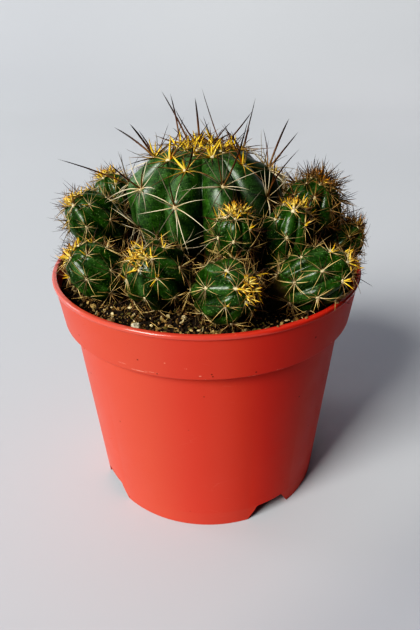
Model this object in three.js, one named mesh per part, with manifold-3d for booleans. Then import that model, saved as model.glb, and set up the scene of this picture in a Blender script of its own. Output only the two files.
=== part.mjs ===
// Potted round cactus: a clump of ribbed, spiny heads in a nursery pot full of soil.
//
// Millimetres, +Z up. The origin is on the pot's axis, in the plane that the pot stands on.
// The front, with the open patch of soil, faces -Y. Every head is one solid: a ribbed body on a
// short neck, with its spines fused on.

import * as THREE from "three";
import { mergeVertices } from "three/addons/utils/BufferGeometryUtils.js";
import Module from "manifold-3d";

const wasm = await Module();
wasm.setup();

// ---------------------------------------------------------------- driving dimensions

const GAP = 0.3; // clear space kept between two pieces that touch

const POT = {
  height: 84.35,
  rimRadius: 52.5, // outside of the rolled lip
  lipHeight: 1.3,
  lipWidth: 1.3,
  collarTopRadius: 51.9, // outside of the collar, under the lip
  collarFootRadius: 50.06,
  collarFoot: 68.3, // height of the collar's lower edge
  bodyTopRadius: 47.16,
  baseRadius: 41.45,
  wall: 1.3,
  floor: 6.5, // height of the floor's underside
  floorThickness: 1.5,
  segments: 44,
};

const NOTCH = {
  count: 4,
  first: -59, // degrees round from the front, towards +X
  height: 6,
  footHalfAngle: 12.2,
  topHalfAngle: 8.2,
  slotDepth: 8, // how far each drain slot runs in from the wall, through the floor
};

const SOIL = {
  edge: 79, // height at the pot's wall
  middle: 82,
  lump: 0.5, // unevenness of the surface
  lumpTurns: [0.31, 0.27], // radians per millimetre along X and Y
  rings: 5,
  segments: 32,
};

const GRAINS = { count: 26, radius: [0.6, 1.5], width: [0.7, 1.1], height: [0.6, 0.9], apart: 0.3, seed: 7 };

// A head's body is drawn by latitude, from 90 degrees at the crown. Below NECK.latitude it turns into
// the neck, and below RIB.lowest its ribs bear no more areoles.
const NECK = { latitude: -62, run: 4, depth: 8 };
const RIB = { depth: 0.13, roundness: 0.8, fade: 1.6, lowest: -42 };

// Spines: the radials spread over the skin round each areole, and the centrals stand out of it.
// Angles are in degrees: turn is round the areole, lean is out of the skin.
const SPINE = {
  rootRadius: 0.36,
  sides: 3,
  sunk: 1.1,
  rootSpread: 0.9,
  clear: 0.45, // clear space to other heads and to the pot
  soilClear: 1.4,
  apart: 0.86, // least distance between the middles of two spines
  tries: 4,
  shorten: 0.85,
};
const RADIAL = { lean: [14, 34], turn: [-12, 12] };
const CENTRAL = { lean: [55, 80], turn: [-40, 40] };
const OLD_SPINES = { radials: 6, centrals: 1, radialLength: [10, 13], centralLength: [14, 21] };
const YOUNG_SPINES = { radials: 3, centrals: 0, radialLength: [6, 9.5] };
const REACH = { x: 54.6, y: 52.4, top: 136.2 }; // spines that would pass these distances end there

// Heads: at is the body's centre, lean is the way that its crown points, and crown and foot are the
// heights of its ends above and below the centre. spin turns the ribs round the axis, and step is the
// distance between areoles along a rib. seated: the neck runs into the main stem's flank there.
const MAIN_STEM = {
  name: "main_stem", at: [-0.5, 5, 106], lean: [0, 0, 1], radius: 25.5, crown: 15, foot: 27,
  ribs: 10, spin: -146, rings: 11, facets: 4, step: 13, firstAreole: 9.5, spines: OLD_SPINES, seed: 11,
};

const OFFSET = {
  ribs: 8, spin: -107, rings: 6, facets: 2, step: 8.4, firstAreole: 3.2, spines: YOUNG_SPINES,
};

const OFFSETS = [
  { at: [-38.7, 7.4, 96.6], lean: [-0.6, -0.23, 0.77], radius: 9.3, crown: 10, foot: 14, spin: -87 },
  { at: [-33.3, 24.5, 97.5], lean: [-0.3, 0.17, 0.94], radius: 8.2, crown: 10, foot: 16 },
  { at: [-34.3, -19.9, 89.4], lean: [-0.76, -0.01, 0.65], radius: 8.2, crown: 9.1, foot: 11, spin: -90 },
  { at: [-14.6, -30, 92.5], lean: [-0.36, -0.56, 0.75], radius: 9.8, crown: 10, foot: 12 },
  { at: [5.6, -37.6, 90.5], lean: [0.53, -0.74, 0.41], radius: 9.3, crown: 10, foot: 11, spin: -165 },
  { at: [8.6, -25.6, 103.2], lean: [0.05, -0.05, 1], radius: 5.6, crown: 6.5, foot: 8, spin: -96,
    ribs: 7, step: 6, seated: [4.6, -12.5, 92] },
  { at: [25, -15.6, 98.3], lean: [0.2, 0.02, 0.98], radius: 7.7, crown: 9.8, foot: 16, spin: -100 },
  { at: [34.8, 1.2, 101.3], lean: [0.3, -0.05, 0.95], radius: 9.7, crown: 10.1, foot: 18 },
  { at: [31.1, -29.8, 90.4], lean: [0.9, -0.05, 0.44], radius: 8.6, crown: 11.7, foot: 11, spin: -125 },
  { at: [46.4, 0.4, 89.7], lean: [0.73, 0.23, 0.64], radius: 6.2, crown: 7.4, foot: 9 },
  { at: [-19.9, 35, 93], lean: [-0.35, 0.45, 0.82], radius: 9.2, crown: 10.5, foot: 13 },
  { at: [2, 38.6, 92], lean: [0.05, 0.5, 0.86], radius: 9.8, crown: 11, foot: 12 },
  { at: [22.9, 33.2, 94], lean: [0.35, 0.4, 0.85], radius: 9.4, crown: 10.5, foot: 14 },
  { at: [36.2, 21.8, 89.5], lean: [0.76, 0.41, 0.51], radius: 7.3, crown: 8.5, foot: 9 },
];

// ---------------------------------------------------------------- materials

const plastic = new THREE.MeshStandardMaterial({ color: 0xd8452f, roughness: 0.38, metalness: 0 });
const earth = new THREE.MeshStandardMaterial({ color: 0x3b3126, roughness: 0.95, metalness: 0 });
const oldFlesh = new THREE.MeshStandardMaterial({ color: 0x1d4a1f, roughness: 0.45, metalness: 0 });
const youngFlesh = new THREE.MeshStandardMaterial({ color: 0x2a5a20, roughness: 0.5, metalness: 0 });

// ---------------------------------------------------------------- small helpers

const UP = new THREE.Vector3(0, 0, 1);
const radians = THREE.MathUtils.degToRad;
const vector = ([x, y, z]) => new THREE.Vector3(x, y, z);
const axisOf = (head) => vector(head.lean).normalize();
const turnBetween = (from, to) => new THREE.Quaternion().setFromUnitVectors(from, to);

// Repeatable random numbers: draw() gives 0 to 1, draw(low, high) gives a number in that range.
function seededRandom(seed) {
  let state = seed >>> 0;
  return (low = 0, high = 1) => {
    state = (state + 0x6d2b79f5) >>> 0;
    let mixed = Math.imul(state ^ (state >>> 15), 1 | state);
    mixed = (mixed + Math.imul(mixed ^ (mixed >>> 7), 61 | mixed)) ^ mixed;
    return low + ((high - low) * ((mixed ^ (mixed >>> 14)) >>> 0)) / 4294967296;
  };
}

// A closed three.js geometry as a solid, with shared corners merged and zero-width triangles dropped.
function toSolid(geometry) {
  const bare = new THREE.BufferGeometry();
  bare.setAttribute("position", geometry.getAttribute("position").clone());
  bare.setIndex(geometry.getIndex());
  const merged = mergeVertices(bare, 1e-4);
  const corners = merged.getIndex().array;
  const triVerts = [];
  for (let i = 0; i < corners.length; i += 3) {
    const [a, b, c] = corners.slice(i, i + 3);
    if (a !== b && b !== c && c !== a) triVerts.push(a, b, c);
  }
  return new wasm.Manifold(new wasm.Mesh({
    numProp: 3,
    vertProperties: new Float32Array(merged.getAttribute("position").array),
    triVerts: new Uint32Array(triVerts),
  }));
}

function toMesh(name, solid, material) {
  const { numProp, vertProperties, triVerts } = solid.getMesh();
  const geometry = new THREE.BufferGeometry();
  geometry.setAttribute("position", new THREE.BufferAttribute(vertProperties, numProp));
  geometry.setIndex(new THREE.BufferAttribute(triVerts, 1));
  geometry.computeVertexNormals();
  const mesh = new THREE.Mesh(geometry, material);
  mesh.name = name;
  return mesh;
}

// A solid of revolution about Z, from [radius, height] pairs that run anticlockwise round the section.
function revolve(profile, segments) {
  const points = profile.map(([radius, height]) => new THREE.Vector2(radius, height));
  return toSolid(new THREE.LatheGeometry(points, segments).rotateX(Math.PI / 2));
}

// ---------------------------------------------------------------- pot

// The wall's outer radius at a height, below the collar and in it, and its inner radius.
function bodyRadius(height) {
  return THREE.MathUtils.mapLinear(height, 0, POT.collarFoot, POT.baseRadius, POT.bodyTopRadius);
}

function collarRadius(height) {
  const top = POT.height - POT.lipHeight;
  return THREE.MathUtils.mapLinear(height, POT.collarFoot, top, POT.collarFootRadius, POT.collarTopRadius);
}

function innerRadius(height) {
  const outside = height < POT.collarFoot + POT.wall ? bodyRadius(height) : collarRadius(height);
  return outside - POT.wall;
}

function potProfile() {
  const { height, wall, rimRadius, lipHeight, lipWidth, collarFoot, floor, floorThickness } = POT;
  const lipFoot = height - lipHeight;
  const floorTop = floor + floorThickness;
  const step = collarFoot + wall;
  const round = 0.5; // radius of the moulding's edges, each drawn as one flat
  const sharp = 0.2; // the same for its finer edges
  return [
    [bodyRadius(0) - wall, 0],
    [bodyRadius(0) - sharp, 0],
    [bodyRadius(0), sharp],
    [bodyRadius(collarFoot), collarFoot],
    [POT.collarFootRadius - round, collarFoot],
    [POT.collarFootRadius, collarFoot + round],
    [POT.collarTopRadius, lipFoot],
    [rimRadius - sharp, lipFoot],
    [rimRadius, lipFoot + sharp],
    [rimRadius, height - round],
    [rimRadius - round, height],
    [rimRadius - lipWidth - sharp, height],
    [innerRadius(lipFoot), height - round],
    [innerRadius(step), step],
    [bodyRadius(step) - wall, step],
    [innerRadius(floorTop), floorTop],
    [0, floorTop],
    [0, floor],
    [innerRadius(floor), floor],
  ];
}

// One notch: a wedge out of the foot skirt, with a drain slot above it through the edge of the floor.
function notchCutter(turn) {
  const past = 1; // the cutter runs this far past the faces that it cuts
  const halfWidth = (angle) => Math.tan(radians(angle)) * POT.baseRadius;
  const foot = halfWidth(NOTCH.footHalfAngle);
  const top = halfWidth(NOTCH.topHalfAngle);
  const outline = new THREE.Shape()
    .moveTo(-foot, -past).lineTo(foot, -past).lineTo(top, NOTCH.height).lineTo(-top, NOTCH.height);
  const wedge = new THREE.ExtrudeGeometry(outline, { depth: 2 * NOTCH.slotDepth, bevelEnabled: false });
  wedge.rotateX(Math.PI / 2).translate(0, NOTCH.slotDepth - POT.baseRadius, 0);

  const slotLength = NOTCH.slotDepth - POT.wall - GAP; // it stops short of the wall and keeps it whole
  const slot = new THREE.BoxGeometry(2 * (top - GAP), slotLength, 2 * (POT.floorThickness + past));
  slot.translate(0, NOTCH.slotDepth - POT.baseRadius - slotLength / 2, POT.floor);
  return toSolid(wedge.rotateZ(radians(turn))).add(toSolid(slot.rotateZ(radians(turn))));
}

function buildPot() {
  let pot = revolve([...potProfile(), potProfile()[0]], POT.segments);
  for (let i = 0; i < NOTCH.count; i++) {
    pot = pot.subtract(notchCutter(NOTCH.first + (360 / NOTCH.count) * i));
  }
  return pot;
}

// ---------------------------------------------------------------- heads

// The circle round a head's axis at a latitude of its body.
function bodyRing(head, latitude) {
  const height = latitude > 0 ? head.crown : head.foot;
  const lift = Math.sin(radians(latitude)) * height;
  return {
    centre: vector(head.at).addScaledVector(axisOf(head), lift),
    radius: head.radius * Math.cos(radians(latitude)),
  };
}

// The rings that a head's skin is drawn through, from the crown down to the end of its neck.
function stationsOf(head) {
  const stations = [];
  for (let i = 0; i <= head.rings; i++) {
    const latitude = THREE.MathUtils.lerp(90, NECK.latitude, i / head.rings);
    const ribbed = Math.min(1, RIB.fade * Math.cos(radians(latitude)));
    stations.push({ ...bodyRing(head, latitude), along: axisOf(head), ribbed, pole: i === 0 ? 1 : 0 });
  }
  const waist = stations.at(-1);
  const end = waist.centre.clone().addScaledVector(axisOf(head), -NECK.run);
  end.setZ(SOIL.edge - NECK.depth);
  if (head.seated) end.set(...head.seated);
  const along = waist.centre.clone().sub(end).normalize();
  stations.push({ centre: end, radius: waist.radius, along, ribbed: 0, pole: 0 });
  stations.push({ centre: end, radius: 0, along, ribbed: 0, pole: -1 });
  return stations;
}

// The point of a head's skin at an angle round a station. The ribs are broad, with sharp furrows.
function skinPoint(head, station, angle, swell) {
  if (station.pole) return station.centre.clone().addScaledVector(station.along, station.pole * swell);
  const furrow = 1 - Math.abs(Math.cos((head.ribs * (angle - radians(head.spin))) / 2)) ** RIB.roundness;
  const radius = station.radius * (1 - RIB.depth * station.ribbed * furrow) + swell;
  return new THREE.Vector3(Math.cos(angle), Math.sin(angle), 0)
    .applyQuaternion(turnBetween(UP, axisOf(head)))
    .applyQuaternion(turnBetween(axisOf(head), station.along))
    .multiplyScalar(radius)
    .add(station.centre);
}

// A head without its spines. swell grows it evenly, for the hollow that another piece leaves for it.
function bodySolid(head, swell = 0) {
  const facets = head.ribs * head.facets;
  const sphere = new THREE.SphereGeometry(1, facets, head.stations.length - 1);
  const position = sphere.getAttribute("position");
  for (let i = 0; i < position.count; i++) {
    const station = head.stations[Math.floor(i / (facets + 1))];
    const angle = radians(head.spin) + (2 * Math.PI * ((i % (facets + 1)) % facets)) / facets;
    const point = skinPoint(head, station, angle, swell);
    position.setXYZ(i, point.x, point.y, point.z);
  }
  return toSolid(sphere);
}

// An areole on the ridge that faces outward, with the skin's own directions there.
function areoleAt(head, outward, latitude) {
  const { centre, radius } = bodyRing(head, latitude);
  const height = latitude > 0 ? head.crown : head.foot;
  const normal = outward.clone().multiplyScalar(Math.cos(radians(latitude)) / head.radius)
    .addScaledVector(axisOf(head), Math.sin(radians(latitude)) / height)
    .normalize();
  const side = new THREE.Vector3().crossVectors(axisOf(head), outward).normalize();
  const up = new THREE.Vector3().crossVectors(normal, side).normalize();
  return { root: centre.addScaledVector(outward, radius), normal, side, up };
}

// Areoles are the cushions that spines grow from. They follow the ridge of every rib from the crown
// down, an even step apart, and those of every other rib start half a step lower.
function areolesOf(head) {
  const areoles = [];
  for (let rib = 0; rib < head.ribs; rib++) {
    const angle = radians(head.spin + (360 / head.ribs) * rib);
    const outward = new THREE.Vector3(Math.cos(angle), Math.sin(angle), 0);
    outward.applyQuaternion(turnBetween(UP, axisOf(head)));
    let next = head.firstAreole + (rib % 2) * head.step * 0.5;
    let walked = 0;
    let last = areoleAt(head, outward, 90);
    for (let latitude = 89; latitude > RIB.lowest; latitude--) {
      const areole = areoleAt(head, outward, latitude);
      walked += areole.root.distanceTo(last.root);
      last = areole;
      if (walked < next) continue;
      next += head.step;
      areoles.push(areole);
    }
  }
  return areoles;
}

// How far a point lies outside a head's body and neck.
function distanceToHead(point, head) {
  const offset = point.clone().sub(vector(head.at));
  const along = offset.dot(axisOf(head));
  const height = along > 0 ? head.crown : head.foot;
  const across = Math.sqrt(Math.max(offset.lengthSq() - along * along, 0));
  const body = (Math.hypot(across / head.radius, along / height) - 1) * Math.min(head.radius, height);
  const [waist, end] = head.stations.slice(-3);
  const neck = new THREE.Line3(waist.centre, end.centre);
  const nearest = neck.closestPointToPoint(point, true, new THREE.Vector3());
  return Math.min(body, nearest.distanceTo(point) - waist.radius);
}

function soilHeight(x, y) {
  const [turnX, turnY] = SOIL.lumpTurns;
  const away = Math.min(Math.hypot(x, y) / innerRadius(SOIL.edge), 1);
  const mound = (SOIL.middle - SOIL.edge) * (1 - away ** 3);
  const lump = SOIL.lump * Math.sin(turnX * x + 1) * Math.cos(turnY * y) * (1 - away ** 6);
  return SOIL.edge + mound + lump;
}

// Whether a spine keeps clear of the pot, the soil, other heads and the spines of other areoles.
function isClear(spine, areole, owner, heads, placed) {
  const samples = 6;
  for (let i = 1; i <= samples; i++) {
    const point = spine.at(i / samples, new THREE.Vector3());
    const away = Math.hypot(point.x, point.y);
    const insidePot = point.z < POT.height + 2 * SPINE.clear;
    if (insidePot && away > innerRadius(POT.height - POT.lipHeight) - 3 * SPINE.clear) return false;
    if (insidePot && point.z < soilHeight(point.x, point.y) + SPINE.soilClear) return false;
    if (heads.some((head) => head !== owner && distanceToHead(point, head) < SPINE.clear)) return false;
  }
  return !placed.some((other) => other.areole !== areole
    && spine.distanceSqToLine3(other.spine) < SPINE.apart ** 2);
}

// A needle from its sunk root to its tip.
function needleSolid(spine) {
  const length = spine.distance();
  const way = spine.delta(new THREE.Vector3()).normalize();
  const needle = new THREE.ConeGeometry(SPINE.rootRadius, length, SPINE.sides, 1);
  needle.translate(0, length / 2, 0);
  needle.applyQuaternion(turnBetween(new THREE.Vector3(0, 1, 0), way));
  needle.translate(...spine.start.toArray());
  return toSolid(needle);
}

// The root and the direction of one spine of an areole.
function spineRay(areole, round, lean, spread) {
  const flat = areole.up.clone().multiplyScalar(Math.cos(radians(round)))
    .addScaledVector(areole.side, Math.sin(radians(round)));
  const way = flat.clone().multiplyScalar(Math.cos(radians(lean)))
    .addScaledVector(areole.normal, Math.sin(radians(lean)));
  const root = areole.root.clone().addScaledVector(areole.normal, -SPINE.sunk);
  return new THREE.Ray(root.addScaledVector(flat, spread), way);
}

// The needles of one head. A spine that would meet something is shortened, or left out if that fails.
function spinesOf(head, heads, placed) {
  const random = seededRandom(head.seed);
  const limits = new THREE.Box3(
    new THREE.Vector3(-REACH.x, -REACH.y, 0),
    new THREE.Vector3(REACH.x, REACH.y, REACH.top),
  );
  const { radials, centrals, radialLength, centralLength } = head.spines;
  const needles = [];
  for (const areole of head.areoles) {
    const start = random(0, 360);
    for (let i = 0; i < radials + centrals; i++) {
      const central = i >= radials;
      const round = central ? random(...CENTRAL.turn) : start + (360 / radials) * i + random(...RADIAL.turn);
      const lean = random(...(central ? CENTRAL : RADIAL).lean);
      const ray = spineRay(areole, round, lean, central ? 0 : SPINE.rootSpread);
      const limit = ray.intersectBox(limits, new THREE.Vector3()).distanceTo(ray.origin);
      let length = Math.min(random(...(central ? centralLength : radialLength)) + SPINE.sunk, limit);
      for (let attempt = 0; attempt < SPINE.tries; attempt++) {
        const spine = new THREE.Line3(ray.origin, ray.at(length, new THREE.Vector3()));
        if (isClear(spine, areole, head, heads, placed)) {
          placed.push({ areole, spine });
          needles.push(needleSolid(spine));
          break;
        }
        length *= SPINE.shorten;
      }
    }
  }
  return needles;
}

// ---------------------------------------------------------------- soil

function soilBody() {
  const floorTop = POT.floor + POT.floorThickness + GAP;
  const step = POT.collarFoot + POT.wall + GAP;
  const fit = 1.5 * GAP; // the pot's flat facets lie a little inside its round wall
  const edgeRadius = innerRadius(SOIL.edge) - fit;
  const profile = [
    [0, floorTop],
    [innerRadius(floorTop) - fit, floorTop],
    [bodyRadius(step) - POT.wall - fit, step],
    [innerRadius(step) - fit, step],
    [edgeRadius, SOIL.edge],
  ];
  for (let ring = SOIL.rings - 1; ring >= 0; ring--) {
    profile.push([(edgeRadius * ring) / SOIL.rings, SOIL.middle]);
  }
  const points = profile.map(([radius, height]) => new THREE.Vector2(radius, height));
  const geometry = new THREE.LatheGeometry(points, SOIL.segments).rotateX(Math.PI / 2);
  const position = geometry.getAttribute("position");
  for (let i = 0; i < position.count; i++) {
    const [x, y, z] = [position.getX(i), position.getY(i), position.getZ(i)];
    if (z > SOIL.edge + GAP) position.setZ(i, soilHeight(x, y));
  }
  return toSolid(geometry);
}

// Whether a grain of this size would touch a head, a spine or another grain.
function isCrowded(centre, size, heads, placed, grains) {
  const nearest = new THREE.Vector3();
  return heads.some((head) => distanceToHead(centre, head) < size + 2 * GAP)
    || grains.some((grain) => grain.centre.distanceTo(centre) < grain.size + size + GRAINS.apart)
    || placed.some(({ spine }) => {
      spine.closestPointToPoint(centre, true, nearest);
      return nearest.distanceTo(centre) < size + 2 * SPINE.rootRadius;
    });
}

// Grit and pumice that lie half sunk in the open soil.
function soilGrains(heads, placed) {
  const random = seededRandom(GRAINS.seed);
  const widest = innerRadius(SOIL.edge) - 1.5 * GRAINS.radius[1];
  const grains = [];
  while (grains.length < GRAINS.count) {
    const size = random(...GRAINS.radius);
    const away = random(0.3, 1) * widest;
    const angle = random(0, 2 * Math.PI);
    const centre = new THREE.Vector3(away * Math.cos(angle), away * Math.sin(angle), 0);
    centre.z = soilHeight(centre.x, centre.y);
    if (isCrowded(centre, size, heads, placed, grains)) continue;
    const stone = new THREE.OctahedronGeometry(size);
    stone.scale(1, random(...GRAINS.width), random(...GRAINS.height));
    stone.rotateZ(random(0, Math.PI)).translate(...centre.toArray());
    grains.push({ centre, size, solid: toSolid(stone) });
  }
  return grains.map((grain) => grain.solid);
}

// ---------------------------------------------------------------- assembly

function numbered(offset, index) {
  const name = `offset_${String(index + 1).padStart(2, "0")}`;
  return { ...OFFSET, ...offset, name, seed: 100 + index };
}

function build() {
  const heads = [MAIN_STEM, ...OFFSETS.map(numbered)];
  for (const head of heads) {
    head.stations = stationsOf(head);
    head.areoles = areolesOf(head);
  }
  const model = new THREE.Group();
  model.add(toMesh("pot", buildPot(), plastic));

  const placed = [];
  const [mainStem, ...offsets] = heads;
  for (const head of heads) {
    let solid = bodySolid(head);
    if (head.seated) solid = solid.subtract(bodySolid(mainStem, GAP));
    for (const needle of spinesOf(head, heads, placed)) solid = solid.add(needle);
    model.add(toMesh(head.name, solid, offsets.includes(head) ? youngFlesh : oldFlesh));
  }

  let soil = soilBody();
  for (const grain of soilGrains(heads, placed)) soil = soil.add(grain);
  for (const head of heads) soil = soil.subtract(bodySolid(head, GAP));
  model.add(toMesh("soil", soil, earth));
  return model;
}

export default build();
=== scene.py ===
"""Potted round cactus: a ribbed, spiny mother head among its offsets, in a nursery pot of gritty soil.

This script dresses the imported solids. Their box, read from the frame, is as far as the spines may reach.
The heads' places and the pot's sizes aren't read from it: they repeat the numbers of the part's source.
Lengths are in millimetres until a mesh is made, angles are in degrees unless a name or docstring says
radians, +Z is up and the front of the object faces -Y.
"""

import logging
import math
from dataclasses import dataclass, field, replace
from enum import Enum

import bmesh
import bpy
import numpy as np
from mathutils import Matrix, Vector, noise


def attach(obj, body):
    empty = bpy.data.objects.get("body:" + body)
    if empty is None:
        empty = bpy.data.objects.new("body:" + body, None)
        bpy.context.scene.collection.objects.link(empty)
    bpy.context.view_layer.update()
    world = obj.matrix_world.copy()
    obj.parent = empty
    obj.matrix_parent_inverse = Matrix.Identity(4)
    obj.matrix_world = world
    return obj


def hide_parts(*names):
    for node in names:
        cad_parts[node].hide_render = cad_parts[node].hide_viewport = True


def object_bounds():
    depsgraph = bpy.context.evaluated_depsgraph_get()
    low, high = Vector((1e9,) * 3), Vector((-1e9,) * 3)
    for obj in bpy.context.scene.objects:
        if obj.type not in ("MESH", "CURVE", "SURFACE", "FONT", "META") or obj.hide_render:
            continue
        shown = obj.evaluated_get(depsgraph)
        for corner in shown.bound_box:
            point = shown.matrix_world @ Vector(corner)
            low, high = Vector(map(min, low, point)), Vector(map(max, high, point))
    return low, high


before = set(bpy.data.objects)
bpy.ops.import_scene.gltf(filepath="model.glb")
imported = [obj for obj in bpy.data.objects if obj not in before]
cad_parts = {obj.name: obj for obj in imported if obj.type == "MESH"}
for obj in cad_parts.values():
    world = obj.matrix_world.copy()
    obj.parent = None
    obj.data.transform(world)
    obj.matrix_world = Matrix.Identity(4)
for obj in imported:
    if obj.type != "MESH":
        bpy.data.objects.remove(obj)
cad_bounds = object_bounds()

log = logging.getLogger("cactus")

MM = 0.001
UP = np.array((0.0, 0.0, 1.0))
Point = tuple[float, float, float]
Span = tuple[float, float]
Colour = tuple[float, float, float]


# ---------------------------------------------------------------- small helpers


def paint(red: float, green: float, blue: float) -> Colour:
    """Turns a colour on a 0-255 paint card into the linear values that shaders use."""
    shares = (red / 255, green / 255, blue / 255)
    return tuple(((v + 0.055) / 1.055) ** 2.4 if v > 10 / 255 else v / 12.92 for v in shares)


def unit(vectors: np.ndarray) -> np.ndarray:
    """Scales each vector of an array to length 1."""
    return vectors / np.linalg.norm(vectors, axis=-1, keepdims=True)


def turn_between(start: np.ndarray, end: np.ndarray) -> np.ndarray:
    """The 3x3 matrix of the shortest turn from one direction to another."""
    return np.array(Vector(start).rotation_difference(Vector(end)).to_matrix())


def blend_along(stops: np.ndarray, at: np.ndarray) -> np.ndarray:
    """Mixes evenly spaced colours.

    Args:
        stops: Colours, shaped (..., stops, 3).
        at: Positions from 0 to 1, shaped (n,).

    Returns:
        Colours shaped (..., n, 3).
    """
    steps = stops.shape[-2] - 1
    place = np.clip(at, 0, 1) * steps
    low = np.minimum(place.astype(int), steps - 1)
    share = (place - low)[:, None]
    return stops[..., low, :] * (1 - share) + stops[..., low + 1, :] * share


def fractal(point: np.ndarray, size: float, seed: float = 0.0) -> float:
    """Smooth random height in about -1 to 1.

    Args:
        point: Where, in millimetres.
        size: Width of the largest lumps, in millimetres.
        seed: Moves the pattern elsewhere.

    Returns:
        The height there.
    """
    falloff, finer, octaves = 0.9, 2.0, 4
    return noise.fractal(Vector(point) / size + Vector((seed, seed, seed)), falloff, finer, octaves)


# ---------------------------------------------------------------- shader expressions

# The Mix node's sockets when it mixes colours: the share, the two colours, and the result.
MIX_SHARE, MIX_LOW, MIX_HIGH, MIX_RESULT = 0, 6, 7, 2


class Shade:
    """One output of a shader node. Python's operators on it add Math nodes."""

    def __init__(self, finish: "NodeTable", socket: bpy.types.NodeSocket) -> None:
        """Keeps the socket and the table it belongs to."""
        self.finish = finish
        self.socket = socket

    def _math(self, operation: str, *values: "Shade | float") -> "Shade":
        """Adds one Math node on the given values."""
        return self.finish.add("ShaderNodeMath", {"operation": operation}, dict(enumerate(values)))

    def __add__(self, other: "Shade | float") -> "Shade":
        """self + other."""
        return self._math("ADD", self, other)

    __radd__ = __add__

    def __sub__(self, other: "Shade | float") -> "Shade":
        """self - other."""
        return self._math("SUBTRACT", self, other)

    def __rsub__(self, other: "Shade | float") -> "Shade":
        """other - self."""
        return self._math("SUBTRACT", other, self)

    def __mul__(self, other: "Shade | float") -> "Shade":
        """self * other."""
        return self._math("MULTIPLY", self, other)

    __rmul__ = __mul__

    def __pow__(self, other: "Shade | float") -> "Shade":
        """self ** other."""
        return self._math("POWER", self, other)

    def ramp(self, low: float, high: float) -> "Shade":
        """Smooth step from 0 to 1 between two values, either of which may be the larger.

        Args:
            low: Where the step is still 0.
            high: Where it reaches 1.

        Returns:
            The step.
        """
        settings = {"interpolation_type": "SMOOTHSTEP"}
        inputs = {"Value": self, "From Min": low, "From Max": high}
        return self.finish.add("ShaderNodeMapRange", settings, inputs)


class NodeTable:
    """A shader tree under construction."""

    def __init__(self, tree: bpy.types.NodeTree) -> None:
        """Clears the tree."""
        self.tree = tree
        tree.nodes.clear()

    def add(
        self,
        kind: str,
        settings: dict[str, str] | None = None,
        inputs: dict[str | int, "Shade | float | Colour"] | None = None,
        output: int | str | None = 0,
    ) -> Shade | None:
        """Adds a node.

        Args:
            kind: The node's type.
            settings: Its properties, such as a Math node's operation, set before its sockets.
            inputs: Values or links of its input sockets, by name or number.
            output: The output socket to return, or None for a node without one.

        Returns:
            That output, ready for more expressions.
        """
        node = self.tree.nodes.new(kind)
        for key, value in (settings or {}).items():
            setattr(node, key, value)
        for key, value in (inputs or {}).items():
            self._feed(node.inputs[key], value)
        return None if output is None else Shade(self, node.outputs[output])

    def _feed(self, socket: bpy.types.NodeSocket, value: Shade | float | Colour) -> None:
        """Links a shade to a socket, or sets the socket's own value.

        Args:
            socket: The input socket.
            value: What it takes.
        """
        if isinstance(value, Shade):
            self.tree.links.new(value.socket, socket)
        elif socket.type == "RGBA":
            socket.default_value = (*value[:3], 1.0)
        else:
            socket.default_value = value


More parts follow.
